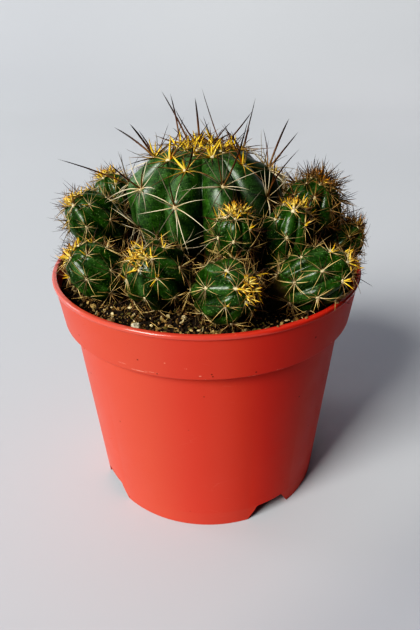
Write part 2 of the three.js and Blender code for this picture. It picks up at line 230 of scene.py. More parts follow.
class PaintTable(NodeTable):
    """A material under construction: a Principled shader and the nodes that feed it."""

    def __init__(self, name: str, **constants: float | Colour) -> None:
        """Starts a material.

        Args:
            name: The material's name.
            **constants: Values for the Principled shader's own sockets, spaces written as underscores.
        """
        self.material = bpy.data.materials.new(name)
        self.material.use_nodes = True
        super().__init__(self.material.node_tree)
        self.surface = self.tree.nodes.new("ShaderNodeBsdfPrincipled")
        shown = Shade(self, self.surface.outputs[0])
        self.add("ShaderNodeOutputMaterial", None, {"Surface": shown}, output=None)
        self.place = self.add("ShaderNodeTexCoord", output="Object")
        for key, value in constants.items():
            self.set(key.replace("_", " "), value)

    def set(self, socket: str, value: Shade | float | Colour) -> None:
        """Feeds one socket of the Principled shader."""
        self._feed(self.surface.inputs[socket], value)

    def mix(self, share: Shade | float, low: Shade | Colour, high: Shade | Colour, how: str = "MIX") -> Shade:
        """Mixes two colours.

        Args:
            share: How much of the second colour, 0 to 1.
            low: The first colour.
            high: The second colour.
            how: The Mix node's blend type.

        Returns:
            The mixed colour.
        """
        settings = {"data_type": "RGBA", "blend_type": how}
        inputs = {MIX_SHARE: share, MIX_LOW: low, MIX_HIGH: high}
        return self.add("ShaderNodeMix", settings, inputs, output=MIX_RESULT)

    def stretched(self, scale: Point) -> Shade:
        """The place on the object, stretched along the axes to draw a pattern out."""
        inputs = {0: self.place, 1: scale}
        return self.add("ShaderNodeVectorMath", {"operation": "MULTIPLY"}, inputs)

    def clouds(
        self, size: float, detail: float = 2.0, place: Shade | None = None, warp: float = 0.0
    ) -> Shade:
        """Smooth random patches from 0 to 1.

        Args:
            size: Their width in millimetres.
            detail: Octaves of finer patches.
            place: Where to read them, if not at the object's own place.
            warp: How far the pattern twists itself.

        Returns:
            The noise.
        """
        inputs = {"Vector": place or self.place, "Scale": 1 / (size * MM)}
        return self.add("ShaderNodeTexNoise", None, {**inputs, "Detail": detail, "Distortion": warp})

    def cells(self, size: float, feature: str = "F1", place: Shade | None = None) -> Shade:
        """Distance to the nearest of many scattered points, or to the border between them."""
        inputs = {"Vector": place or self.place, "Scale": 1 / (size * MM)}
        return self.add("ShaderNodeTexVoronoi", {"feature": feature}, inputs, output="Distance")

    def stored(self, name: str) -> Shade:
        """A colour stored on the mesh."""
        return self.add("ShaderNodeAttribute", {"attribute_name": name}, output="Color")

    def channels(self, colour: Shade) -> tuple[Shade, Shade, Shade]:
        """Splits a colour, or a place on the object.

        Args:
            colour: What is split.

        Returns:
            Its three channels.
        """
        split = self.add("ShaderNodeSeparateColor", None, {0: colour})
        outputs = split.socket.node.outputs
        return split, Shade(self, outputs[1]), Shade(self, outputs[2])

    def bump(self, height: Shade, strength: float, depth: float) -> None:
        """Raises the surface by a height pattern.

        Args:
            height: The pattern, 0 to 1.
            strength: The Bump node's strength.
            depth: How tall the pattern stands, in millimetres.
        """
        inputs = {"Height": height, "Strength": strength, "Distance": depth * MM}
        self.set("Normal", self.add("ShaderNodeBump", None, inputs))


# ---------------------------------------------------------------- finishes


@dataclass(frozen=True)
class MouldedPlastic:
    """Thin orange-red polypropylene, glossy where it was polished and scuffed by handling.

    The wall carries a painted paler sheen towards -X, on the lit side, and painted shade towards +X, away
    from the light, and it is lighter on the foot. A nick is a mark on the front given by its place across,
    its height and half its width and height. A pit is a dark speck there, given by its place across and
    its height.
    """

    colour: Colour = paint(204, 67, 50)
    pale: Colour = paint(210, 80, 60)
    # painted sheen: the pale of the lit side towards -X, also used for the lighter foot
    painted_light_pale: Colour = paint(201, 80, 62)
    # painted shade: the darker colour of the side towards +X, away from the light
    deep: Colour = paint(203, 50, 34)
    dirt: Colour = paint(70, 38, 26)
    scuffed: Colour = paint(220, 130, 110)
    nicked: Colour = paint(240, 170, 150)
    roughness: float = 0.38
    nicks: tuple[tuple[float, float, float, float], ...] = (
        (-20, 69.4, 2.6, 0.12), (-16, 69.8, 2.2, 0.08), (-25, 70.6, 1.4, 0.08),
        (-12, 74, 0.3, 0.2), (-6, 72.6, 0.5, 0.16), (-2, 70, 0.5, 0.2),
        (-4, 68.1, 4.0, 0.1), (13, 68.6, 1.6, 0.1), (21, 68.8, 1.2, 0.1),
    )
    pits: tuple[Span, ...] = ((-14.5, 69.6), (1.2, 70.6), (1.5, 69.8), (14, 69.8), (-20, 73.5))
    pit_radius: float = 0.28

    def build(self) -> bpy.types.Material:
        """Makes the material.

        Returns:
            The material.
        """
        table = PaintTable("moulded_plastic", Coat_Roughness=0.12, IOR=1.49, Specular_IOR_Level=0.1)
        flow = table.clouds(34, 3, table.stretched((1, 1, 0.35)))
        haze = table.clouds(9, 4)
        colour = table.mix(flow.ramp(0.35, 0.7) * 0.35, self.colour, self.pale)
        scuff_way = table.clouds(14, 1, table.stretched((1, 1, 2.2)), warp=1.2)
        scuff = table.cells(17, "DISTANCE_TO_EDGE", table.stretched((1, 0.8, 3.1))).ramp(0.012, 0.003)
        scuff = scuff * scuff_way.ramp(0.6, 0.66)
        colour = table.mix(scuff * 0.14, colour, self.scuffed)
        across, ahead, height = table.channels(table.place)
        front = ahead.ramp(0, -0.01)
        # Painted sheen, paler towards -X on the lit side, and painted shade, deeper towards +X away from the
        # light.
        colour = table.mix(across.ramp(0.0, -0.022) * 0.8, colour, self.painted_light_pale)
        colour = table.mix(across.ramp(0.0, 0.02) * 0.85, colour, self.deep)
        # Lighter on the foot, below the floor.
        colour = table.mix(height.ramp(0.0066, 0.006) * 0.3, colour, self.painted_light_pale)
        specks = table.cells(5.5).ramp(0.075, 0.04) * table.clouds(11, 2).ramp(0.5, 0.6)
        for x, z in self.pits:
            apart = ((across - x * MM) ** 2 + (height - z * MM) ** 2) * (1 / (self.pit_radius * MM) ** 2)
            specks = specks + apart.ramp(1.3, 0.5) * front
        collar_edge = height.ramp(0.0672, 0.0684) * height.ramp(0.0702, 0.069)
        nicks = table.cells(2.3).ramp(0.16, 0.08) * table.clouds(6, 3).ramp(0.5, 0.6) * collar_edge
        broken = table.clouds(0.5, 2).ramp(0.35, 0.55)
        for x, z, width, tall in self.nicks:
            along = (across - x * MM) * (1 / (width * MM))
            upward = (height - z * MM) * (1 / (tall * MM))
            apart = along**2 + upward**2
            nicks = nicks + apart.ramp(1.4, 0.4) * broken * front
        colour = table.mix(nicks.ramp(0, 1) * 0.55, colour, self.nicked)
        colour = table.mix(specks * 0.75, colour, self.dirt)
        table.set("Base Color", colour)
        lip = height.ramp(0.0826, 0.0832)
        table.set("Roughness", haze * 0.12 + scuff * 0.2 + specks * 0.3 - lip * 0.2 + self.roughness)
        table.set("Coat Weight", 0.05 - scuff * 0.04 + lip * 0.95)
        peel = table.clouds(1.4, 2) * 0.25 + table.clouds(24, 1) * 6 - scuff * 0.3 + specks * 0.6
        table.bump(peel, 0.35, 0.12)
        return table.material


@dataclass(frozen=True)
class WaxySkin:
    """Cactus skin: deep green under a blue-grey wax, with fine pale dots and darker furrows.

    The mesh carries "form": red is the furrow's depth, green the way from crown to foot, and blue the
    nearness of an areole. The deepest furrows are darkened with painted shade, and the crests carry a pale
    waxy streak that is partly a painted highlight. old is the corky colour low on a head and round its
    areoles. dots is the strength of the pale dots. dark_side, where a head has one, is where its painted
    shade on the side away from the light starts and is full along X, in metres.
    """

    name: str
    deep: Colour
    fresh: Colour
    wax_and_painted_sheen: Colour
    old: Colour
    dot: Colour = paint(150, 172, 120)
    shaded: Colour = paint(60, 66, 54)
    dots: float = 0.42
    coat_roughness: float = 0.2
    coat: float = 0.3
    dark_side: Span | None = None

    def build(self) -> bpy.types.Material:
        """Makes the material.

        Returns:
            The material.
        """
        table = PaintTable(
            self.name, Coat_Roughness=self.coat_roughness, Coat_IOR=1.5, IOR=1.4, Specular_IOR_Level=0.15
        )
        furrow, down, near = table.channels(table.stored("form"))
        mottle = table.clouds(3.2, 5)
        fine = table.clouds(0.55, 3)
        colour = table.mix((mottle * 0.5 + fine * 0.5).ramp(0.36, 0.64), self.deep, self.fresh)
        # Painted shade: darker deep in the furrows.
        colour = table.mix(furrow.ramp(0.8, 1.05) * 0.5, colour, self.deep)
        # A pale waxy streak along the crests: partly real bloom, partly a painted highlight.
        crest = furrow.ramp(0.26, 0.0) * table.clouds(1.8, 4).ramp(0.3, 0.6)
        colour = table.mix(crest * 0.2, colour, self.wax_and_painted_sheen)
        dots = table.cells(0.75).ramp(0.3, 0.12) * table.clouds(3, 2).ramp(0.34, 0.56)
        colour = table.mix(dots * self.dots, colour, self.dot)
        stain = (down.ramp(0.6, 0.95) + table.clouds(3.5, 4) * 0.8).ramp(0.75, 1.3)
        colour = table.mix(stain * 0.9, colour, self.old)
        colour = table.mix(near.ramp(0.75, 1.0) * 0.4, colour, self.old)
        # Painted shade on the side towards +X, away from the light.
        if self.dark_side:
            across = table.channels(table.place)[0]
            colour = table.mix(across.ramp(*self.dark_side) * 0.75, colour, self.shaded, "MULTIPLY")
        table.set("Base Color", colour)
        table.set("Roughness", 0.3 + mottle * 0.16 + stain * 0.4)
        table.set("Coat Weight", self.coat + (mottle + fine - 1) * 0.9 - stain * self.coat)
        grain = fine * 0.8 + dots * 0.5 + table.clouds(4, 2) * 3
        table.bump(grain, 0.4, 0.1)
        return table.material


@dataclass(frozen=True)
class SpineHorn:
    """Hard horn of the spines. The mesh carries their colour from root to tip as "tint"."""

    streaks: Colour = paint(120, 88, 50)

    def build(self) -> bpy.types.Material:
        """Makes the material.

        Returns:
            The material.
        """
        table = PaintTable("spine_horn", IOR=1.5, Coat_Roughness=0.25, Specular_IOR_Level=0.25)
        streak = table.clouds(0.5, 3)
        share = streak.ramp(0.35, 0.75) * 0.25
        table.set("Base Color", table.mix(share, table.stored("tint"), self.streaks, "MULTIPLY"))
        table.set("Roughness", 0.36 + streak * 0.25)
        table.set("Coat Weight", streak * 0.15)
        table.bump(table.clouds(0.25, 2), 0.2, 0.03)
        return table.material


@dataclass(frozen=True)
class AreoleWool:
    """Felted wool of the areoles. The mesh carries its colour as "tint"."""

    deep: Colour = paint(96, 70, 42)

    def build(self) -> bpy.types.Material:
        """Makes the material.

        Returns:
            The material.
        """
        table = PaintTable("areole_wool", Sheen_Weight=0.3, Sheen_Roughness=0.6, Specular_IOR_Level=0.15)
        felt = table.clouds(0.3, 4)
        table.set("Base Color", table.mix(felt.ramp(0.65, 0.3) * 0.5, table.stored("tint"), self.deep))
        table.set("Roughness", 0.85 + felt * 0.1)
        table.bump(felt, 0.8, 0.15)
        return table.material


@dataclass(frozen=True)
class PottingSoil:
    """Dark peat with grit. The mesh carries each crumb's colour as "tint"."""

    dark: Colour = paint(24, 16, 10)
    pore: Colour = paint(60, 42, 26)

    def build(self) -> bpy.types.Material:
        """Makes the material.

        Returns:
            The material.
        """
        table = PaintTable("potting_soil", Specular_IOR_Level=0.25)
        grit = table.clouds(0.6, 5)
        pores = table.cells(0.5).ramp(0.1, 0.35)
        colour = table.mix(grit.ramp(0.6, 0.35) * 0.65, table.stored("tint"), self.dark)
        colour = table.mix(pores * 0.25, colour, self.pore, "SOFT_LIGHT")
        table.set("Base Color", colour)
        table.set("Roughness", 0.8 + grit * 0.15)
        table.bump(grit + pores * 0.4, 0.7, 0.25)
        return table.material


@dataclass(frozen=True)
class Tabletop:
    """A smooth, matt, pale surface.

    It carries painted shade at the front towards +X and far behind towards -X, and painted light
    behind towards +X.
    """

    colour: Colour = paint(192, 195, 198)
    clouded: Colour = paint(186, 189, 192)
    painted_shade_grey: Colour = paint(176, 179, 184)
    painted_light_grey: Colour = paint(200, 202, 205)

    def build(self) -> bpy.types.Material:
        """Makes the material.

        Returns:
            The material.
        """
        table = PaintTable("tabletop", Specular_IOR_Level=0.2)
        colour = table.mix(table.clouds(90, 2) * 0.12, self.colour, self.clouded)
        x, y, _ = table.channels(table.place)
        # Painted shade: darker at the front towards +X and far behind towards -X.
        colour = table.mix((x * 2.5 - y * 3.5).ramp(0.25, 0.42) * y.ramp(0.01, -0.04), colour, self.painted_shade_grey)
        colour = table.mix(x.ramp(0.1, -0.4) * y.ramp(0.75, 1.0) * 0.55, colour, self.painted_shade_grey)
        # Painted light: lighter behind towards +X.
        colour = table.mix(x.ramp(0, 0.35) * y.ramp(0.4, 0.7) * y.ramp(1.1, 0.8), colour, self.painted_light_grey)
        table.set("Base Color", colour)
        table.set("Roughness", 0.62 + table.clouds(2, 2) * 0.06)
        return table.material


# ---------------------------------------------------------------- meshes


@dataclass
class Sculpt:
    """The closed shells of one piece, gathered in millimetres.

    A shell is a stack of rings between a first and a last point. The rings run anticlockwise seen from
    the first point, so its faces look outward.
    """

    name: str
    points: list[np.ndarray] = field(default_factory=list)
    tints: list[np.ndarray] = field(default_factory=list)
    faces: list[np.ndarray] = field(default_factory=list)
    count: int = 0

    def add_shells(self, rings: np.ndarray, first: np.ndarray, last: np.ndarray, tints: np.ndarray) -> None:
        """Adds shells that share one layout.

        Args:
            rings: Points shaped (shells, rings, corners, 3).
            first: First points, shaped (shells, 3).
            last: Last points, shaped (shells, 3).
            tints: Colours of first point, rings and last point, shaped (shells, rings + 2, corners or 1, 3).
        """
        shells, levels, corners, _ = rings.shape
        points = np.concatenate([first[:, None], rings.reshape(shells, -1, 3), last[:, None]], axis=1)
        middle = np.broadcast_to(tints[:, 1:-1], rings.shape).reshape(shells, -1, 3)
        colours = np.concatenate([tints[:, 0, :1], middle, tints[:, -1, :1]], axis=1)
        ring = np.arange(corners)
        ahead = (ring + 1) % corners
        start = 1 + corners * np.arange(levels - 1)[:, None]
        quads = np.stack([start + ring, start + corners + ring, start + corners + ahead, start + ahead], -1)
        end = 1 + corners * (levels - 1)
        top = np.stack([0 * ring, 1 + ring, 1 + ahead], -1)
        bottom = np.stack([0 * ring + end + corners, end + ahead, end + ring], -1)
        offsets = self.count + points.shape[1] * np.arange(shells)[:, None, None]
        for template in (quads.reshape(-1, 4), top, bottom):
            self.faces.append((template + offsets).reshape(-1, template.shape[1]))
        self.points.append(points.reshape(-1, 3))
        self.tints.append(colours.reshape(-1, 3))
        self.count += points.shape[0] * points.shape[1]

    def add_blobs(self, blob: "Blob", points: np.ndarray, tints: np.ndarray) -> None:
        """Adds copies of a small closed mesh.

        Args:
            blob: The mesh whose faces the copies share.
            points: The copies' corners, shaped (copies, corners, 3).
            tints: One colour for each copy, shaped (copies, 3).
        """
        offsets = self.count + points.shape[1] * np.arange(len(points))[:, None, None]
        self.faces.append((blob.faces + offsets).reshape(-1, 3))
        self.points.append(points.reshape(-1, 3))
        self.tints.append(np.repeat(tints, points.shape[1], axis=0))
        self.count += points.shape[0] * points.shape[1]

    def build(self, stored: str = "tint", smooth: bool = True) -> bpy.types.Object:
        """Makes the object.

        Args:
            stored: Name of the colour that the mesh carries.
            smooth: Whether its faces are shaded smooth.

        Returns:
            The object, linked to the scene.
        """
        mesh = bpy.data.meshes.new(self.name)
        mesh.vertices.add(self.count)
        mesh.vertices.foreach_set("co", (np.concatenate(self.points) * MM).ravel())
        sizes = np.concatenate([np.full(len(faces), faces.shape[1]) for faces in self.faces])
        mesh.loops.add(int(sizes.sum()))
        mesh.loops.foreach_set("vertex_index", np.concatenate([faces.ravel() for faces in self.faces]))
        mesh.polygons.add(len(sizes))
        mesh.polygons.foreach_set("loop_start", np.concatenate([[0], np.cumsum(sizes)[:-1]]))
        mesh.polygons.foreach_set("use_smooth", np.full(len(sizes), smooth))
        mesh.update(calc_edges=True)
        colours = np.concatenate(self.tints)
        layer = mesh.attributes.new(stored, "FLOAT_COLOR", "POINT")
        layer.data.foreach_set("color", np.column_stack([colours, np.ones(self.count)]).ravel())
        made = bpy.data.objects.new(self.name, mesh)
        bpy.context.scene.collection.objects.link(made)
        return made


@dataclass(frozen=True)
class Blob:
    """A ball of triangles, the blank that a crumb or stone is made from."""

    corners: np.ndarray
    faces: np.ndarray

    @classmethod
    def rounded(cls, divisions: int) -> "Blob":
        """Splits an icosahedron's faces.

        Args:
            divisions: 1 for the plain icosahedron, 2 for 80 faces.

        Returns:
            A blob of radius 1.
        """
        shape = bmesh.new()
        bmesh.ops.create_icosphere(shape, subdivisions=divisions, radius=1)
        corners = np.array([vertex.co for vertex in shape.verts])
        faces = np.array([[vertex.index for vertex in face.verts] for face in shape.faces])
        shape.free()
        return cls(corners, faces)


def dress(piece: bpy.types.Object, material: bpy.types.Material, slot: str, *replaced: str) -> None:
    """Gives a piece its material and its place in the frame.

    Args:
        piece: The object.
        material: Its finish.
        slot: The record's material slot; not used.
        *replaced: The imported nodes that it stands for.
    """
    piece.data.materials.clear()
    piece.data.materials.append(material)
    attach(piece, "root")
    if replaced:
        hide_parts(*replaced)
    faces = sum(len(polygon.vertices) - 2 for polygon in piece.data.polygons)
    log.info("%s: %d triangles", piece.name, faces)


# ---------------------------------------------------------------- pot


@dataclass(frozen=True)
class NurseryPot:
    """A thin round pot with a rolled lip, a deep collar and four drain notches in its foot.

    Radii are the outside's. first_notch is its place in degrees round from the front towards +X, and
    notch_foot and notch_top are half a notch's width in degrees at its foot and its top. slot_depth is how
    far from the wall's outside a drain slot ends, and slot_margin how much stays between it and the wall.
    """

    height: float = 84.35
    rim_radius: float = 52.5
    lip_height: float = 1.3
    lip_width: float = 1.3
    lip_bevel: float = 0.3
    collar_top: float = 51.9
    collar_bottom: float = 50.06
    collar_foot: float = 68.3
    body_top: float = 47.16
    base_radius: float = 41.45
    wall: float = 1.3
    floor: float = 6.5
    floor_thickness: float = 1.5
    notches: int = 4
    first_notch: float = -59.0
    notch_height: float = 6.0
    notch_foot: float = 12.2
    notch_top: float = 8.2
    slot_depth: float = 8.0
    slot_margin: float = 0.3
    segments: int = 256

    def body_radius(self, height: float) -> float:
        """Outer radius of the body at a height."""
        return self.base_radius + (self.body_top - self.base_radius) * height / self.collar_foot

    def inner_radius(self, height: float) -> float:
        """Inner radius of the pot.

        Args:
            height: Where, above the plane that the pot stands on.

        Returns:
            The radius there, of the body or of the collar above it.
        """
        if height < self.collar_foot + self.wall:
            return self.body_radius(height) - self.wall
        rise = (height - self.collar_foot) / (self.height - self.lip_height - self.collar_foot)
        return self.collar_bottom + (self.collar_top - self.collar_bottom) * rise - self.wall

    def _corners(self) -> list[Point]:
        """Lists the section's corners, from the floor's top outward and round to its underside.

        Returns:
            Each corner's radius, height and fillet radius.
        """
        floor_top = self.floor + self.floor_thickness
        lip_foot = self.height - self.lip_height
        step = self.collar_foot + self.wall
        return [
            (self.inner_radius(floor_top), floor_top, 1.0),
            (self.body_radius(step) - self.wall, step, 0.6),
            (self.inner_radius(step), step, 0.9),
            (self.inner_radius(lip_foot), lip_foot, 0.4),
            (self.rim_radius - self.lip_width - self.lip_bevel, self.height, 0.35),
            (self.rim_radius, self.height, 0.55),
            (self.rim_radius, lip_foot, 0.25),
            (self.collar_top, lip_foot, 0.15),
            (self.collar_bottom, self.collar_foot, 0.6),
            (self.body_radius(self.collar_foot), self.collar_foot, 0.5),
            (self.base_radius, 0, 0.35),
            (self.base_radius - self.wall, 0, 0.2),
            (self.inner_radius(self.floor), self.floor, 0.5),
        ]

    def _profile(self) -> np.ndarray:
        """Rounds the section's corners.

        Returns:
            The section's points as radius and height, shaped (n, 2).
        """
        corners = [(0.0, self.floor + self.floor_thickness, 0.0), *self._corners(), (0.0, self.floor, 0.0)]
        steps = 5
        outline = []
        for before, corner, after in zip(corners, corners[1:], corners[2:]):
            fillet = corner[2]
            here = np.array(corner[:2])
            back = unit(np.array(before[:2]) - here)
            ahead = unit(np.array(after[:2]) - here)
            half = math.acos(float(np.clip(back @ ahead, -1, 1))) / 2
            reach = fillet / math.tan(half)
            centre = here + unit(back + ahead) * fillet / math.sin(half)
            start = here + back * reach - centre
            end = here + ahead * reach - centre
            for share in np.linspace(0, 1, steps):
                outline.append(centre + unit(start * (1 - share) + end * share) * fillet)
        return np.array(outline)

    def _wobble(self, rings: np.ndarray) -> np.ndarray:
        """Bends the wall a little out of round, as a thin moulding is. The foot stays flat.

        Args:
            rings: The wall's points, shaped (..., 3).

        Returns:
            The bent points.
        """
        angle = np.arctan2(rings[..., 1], rings[..., 0])
        away = np.hypot(rings[..., 0], rings[..., 1])
        height = rings[..., 2]
        oval, ripple, inset = 0.12, 0.05, 0.17
        swing = oval * np.sin(2 * angle + 0.6) + ripple * np.sin(5 * angle + height * 0.03)
        inward = np.clip(away / self.base_radius, 0, 1) ** 4 * np.clip(height / self.height, 0, 1)
        scale = 1 + (swing - inset) * inward / np.maximum(away, 1)
        return np.stack([rings[..., 0] * scale, rings[..., 1] * scale, height], -1)

    def _notch(self, turn: float) -> bpy.types.Object:
        """Makes the tool that cuts one notch and its drain slot.

        Args:
            turn: Degrees round from the front towards +X.

        Returns:
            The tool, which is removed once the cut is made.
        """
        past = 1.0
        corner = 1.4
        steps = 5
        foot = math.tan(math.radians(self.notch_foot)) * self.base_radius
        top = math.tan(math.radians(self.notch_top)) * self.base_radius
        lean = (foot - top) / self.notch_height
        outline = [(-foot - lean * past, -past), (foot + lean * past, -past)]
        for side in (1, -1):
            for share in np.linspace(0, 1, steps)[::side]:
                swing = math.pi / 2 * share
                across = top - corner + corner * math.cos(swing)
                outline.append((side * across, self.notch_height - corner + corner * math.sin(swing)))
        shape = bmesh.new()
        outer = -self.base_radius - self.slot_depth
        inner = -self.base_radius + self.slot_depth
        sides = [[shape.verts.new((x, y, z)) for x, z in outline] for y in (outer, inner)]
        shape.faces.new(sides[0])
        shape.faces.new(sides[1][::-1])
        for i in range(len(outline)):
            j = (i + 1) % len(outline)
            shape.faces.new((sides[0][j], sides[0][i], sides[1][i], sides[1][j]))
        slot_length = self.slot_depth - self.wall - self.slot_margin
        depth = self.floor_thickness + 2 * past
        size = Matrix.Diagonal((2 * (top - 1.0), slot_length, depth, 1))
        middle = self.floor + self.floor_thickness / 2
        place = Vector((0, inner - slot_length / 2 - 0.01, middle + 0.1))
        bmesh.ops.create_cube(shape, size=1, matrix=Matrix.Translation(place) @ size)
        bmesh.ops.rotate(shape, verts=shape.verts, matrix=Matrix.Rotation(math.radians(turn), 3, "Z"))
        bmesh.ops.scale(shape, verts=shape.verts, vec=(MM, MM, MM))
        bmesh.ops.recalc_face_normals(shape, faces=shape.faces)
        mesh = bpy.data.meshes.new("notch")
        shape.to_mesh(mesh)
        shape.free()
        made = bpy.data.objects.new("notch", mesh)
        bpy.context.scene.collection.objects.link(made)
        return made

    def build(self, material: bpy.types.Material) -> None:
        """Makes the pot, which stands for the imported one.

        Args:
            material: The plastic.
        """
        profile = self._profile()
        angles = np.linspace(0, 2 * math.pi, self.segments, endpoint=False)
        ring = np.stack([np.cos(angles), np.sin(angles)], -1)
        height = np.broadcast_to(profile[:, 1, None, None], (len(profile), self.segments, 1))
        rings = self._wobble(np.concatenate([profile[:, 0, None, None] * ring, height], -1))
        sculpt = Sculpt("pot_shell")
        first = np.array([[0, 0, self.floor + self.floor_thickness]])
        last = np.array([[0, 0, self.floor]])
        sculpt.add_shells(rings[None], first, last, np.ones((1, len(profile) + 2, 1, 3)))
        pot = sculpt.build()
        cutters = [self._notch(self.first_notch + 360 / self.notches * i) for i in range(self.notches)]
        for cutter in cutters:
            cut = pot.modifiers.new("notch", "BOOLEAN")
            cut.object = cutter
            cut.operation = "DIFFERENCE"
            cut.solver = "EXACT"
            cut.use_self = True
        done = bpy.data.meshes.new_from_object(pot.evaluated_get(bpy.context.evaluated_depsgraph_get()))
        pot.modifiers.clear()
        pot.data = done
        for cutter in cutters:
            bpy.data.objects.remove(cutter)
        done.set_sharp_from_angle(angle=math.radians(35))
        dress(pot, material, "pot_plastic", "pot")


# ---------------------------------------------------------------- soil


@dataclass(frozen=True)
class PottingMix:
    """Peat and grit, heaped a little towards the middle of the pot.

    edge and middle are the heights of its surface. lump is how high its broad lumps are and lump_turns how
    close they stand, and rough_height and rough_width are the size of its fine lumps. fit is its gap to the
    pot's wall. A chunk is given by its place, its size and its colour.
    """

    pot: NurseryPot
    edge: float = 79.0
    middle: float = 82.0
    lump: float = 0.5
    lump_turns: Span = (0.31, 0.27)
    rough_width: float = 3.2
    rough_height: float = 0.55
    fit: float = 0.25
    rings: int = 56
    segments: int = 168
    grains: int = 8800
    grain_size: Span = (0.24, 1.1)
    fibres: int = 340
    seed: int = 7
    peat: tuple[Colour, ...] = (paint(50, 38, 26), paint(30, 22, 15), paint(66, 50, 32))
    grit: tuple[Colour, ...] = (
        paint(84, 64, 42), paint(132, 106, 62), paint(172, 146, 96), paint(214, 196, 150),
        paint(118, 110, 60), paint(44, 34, 26), paint(150, 118, 74),
    )
    chunks: tuple[tuple[float, float, float, Colour], ...] = (
        (-20.5, -40.5, 1.9, paint(222, 212, 184)), (-28.5, -36.8, 1.7, paint(176, 146, 104)),
        (-31.5, -35.2, 1.3, paint(196, 178, 132)), (-11.8, -44.2, 1.5, paint(150, 120, 72)),
        (-4.2, -46.6, 1.2, paint(128, 110, 70)), (-24.2, -41.6, 1.2, paint(150, 124, 74)),
        (38.6, -33.8, 0.55, paint(196, 170, 120)), (28.2, -42.8, 0.5, paint(170, 140, 92)),
        (19.6, -47.4, 0.4, paint(150, 120, 80)), (43.6, -26.8, 0.4, paint(120, 92, 56)),
    )

    def height(self, x: np.ndarray, y: np.ndarray) -> np.ndarray:
        """Height of the soil's even surface.

        Args:
            x: Places across.
            y: Places from front to back.

        Returns:
            The heights there.
        """
        away = np.minimum(np.hypot(x, y) / self.pot.inner_radius(self.edge), 1)
        mound = (self.middle - self.edge) * (1 - away**3)
        lump = self.lump * np.sin(self.lump_turns[0] * x + 1) * np.cos(self.lump_turns[1] * y)
        return self.edge + mound + lump * (1 - away**6)

    def _body(self) -> bpy.types.Object:
        """Makes the soil as one closed lump that fills the pot.

        Returns:
            The lump.
        """
        pot = self.pot
        floor = pot.floor + pot.floor_thickness + 0.1
        step = pot.collar_foot + pot.wall + 0.2
        widest = pot.inner_radius(self.edge) - self.fit
        sides = [
            (widest, self.edge - 1.5),
            (pot.inner_radius(step) - self.fit, step),
            (pot.body_radius(step) - pot.wall - self.fit, step),
            (pot.inner_radius(floor) - self.fit, floor),
        ]
        angles = np.linspace(0, 2 * math.pi, self.segments, endpoint=False)
        circle = np.stack([np.cos(angles), np.sin(angles)], -1)
        rings = []
        for i in range(1, self.rings + 1):
            flat = circle * widest * i / self.rings
            top = self.height(flat[:, 0], flat[:, 1])
            rough = [fractal(np.array((x, y, 0)), self.rough_width) * self.rough_height for x, y in flat]
            rings.append(np.column_stack([flat, top + np.array(rough) * (1 if i < self.rings else 0.5)]))
        for radius, height in sides:
            rings.append(np.column_stack([circle * radius, np.full(self.segments, height)]))
        stacked = np.array(rings)[None]
        shade = np.array([[fractal(point, 2.5, 9) for point in ring] for ring in rings]) * 0.5 + 0.5
        middle = blend_along(np.array(self.peat), shade.ravel()).reshape(1, len(rings), self.segments, 3)
        ends = np.broadcast_to(np.array(self.peat[0]), (1, 1, self.segments, 3))
        sculpt = Sculpt("soil_body")
        first = np.array([[0, 0, float(self.height(np.zeros(1), np.zeros(1))[0])]])
        last = np.array([[0, 0, floor]])
        sculpt.add_shells(stacked, first, last, np.concatenate([ends, middle, ends], 1))
        return sculpt.build(smooth=False)

    def _scatter(self, rng: np.random.Generator, count: int, sizes: np.ndarray, clump: "Clump") -> np.ndarray:
        """Places for crumbs on the open soil.

        Args:
            rng: The random draw.
            count: How many.
            sizes: Their radii.
            clump: The heads that they lie between.

        Returns:
            Places shaped (count, 3), at the height of the soil.
        """
        widest = self.pot.inner_radius(self.edge)
        off_heads = 0.3
        places = np.zeros((count, 3))
        todo = np.arange(count)
        while len(todo):
            away = np.sqrt(rng.uniform(0.02, 1, len(todo))) * (widest - sizes[todo])
            angle = rng.uniform(0, 2 * math.pi, len(todo))
            x, y = away * np.cos(angle), away * np.sin(angle)
            places[todo] = np.column_stack([x, y, self.height(x, y)])
            todo = todo[clump.distance(places[todo]) < off_heads]
        return places

    def _crumbs(self, clump: "Clump") -> bpy.types.Object:
        """Makes the grit, bark and pumice that lie on the soil.

        Args:
            clump: The heads that they lie between.

        Returns:
            All of them as one piece.
        """
        rng = np.random.default_rng(self.seed)
        low, high = self.grain_size
        sizes = low + (high - low) * rng.random(self.grains) ** 1.9
        places = self._scatter(rng, self.grains, sizes, clump)
        colours = np.array(self.grit)[rng.integers(0, len(self.grit), self.grains)]
        colours = colours * rng.uniform(0.5, 1.75, (self.grains, 1))
        lift = rng.uniform(-0.2, 0.75, self.grains) * sizes
        sculpt = Sculpt("soil_grit")
        self._add_stones(sculpt, Blob.rounded(1), rng, places + lift[:, None] * UP, sizes, colours)
        self._add_chunks(sculpt, rng)
        self._add_fibres(sculpt, rng, clump)
        return sculpt.build(smooth=False)

    def _add_stones(
        self,
        sculpt: Sculpt,
        blob: Blob,
        rng: np.random.Generator,
        places: np.ndarray,
        sizes: np.ndarray,
        colours: np.ndarray,
    ) -> None:
        """Adds one stone for each place, each knocked out of round and turned its own way.

        Args:
            sculpt: The piece that gathers them.
            blob: The blank.
            rng: The random draw.
            places: Their middles.
            sizes: Their radii.
            colours: Their colours.
        """
        count = len(places)
        knocks = rng.uniform(0.5, 1.3, (count, len(blob.corners), 1))
        squash = np.stack([np.ones(count), rng.uniform(0.4, 0.95, count), rng.uniform(0.3, 0.75, count)], -1)
        shapes = blob.corners[None] * knocks * squash[:, None]
        turns = np.linalg.qr(rng.normal(size=(count, 3, 3)))[0]
        turns = turns * np.sign(np.linalg.det(turns))[:, None, None]
        points = np.einsum("nij,nkj->nki", turns, shapes) * sizes[:, None, None] + places[:, None]
        sculpt.add_blobs(blob, points, colours)

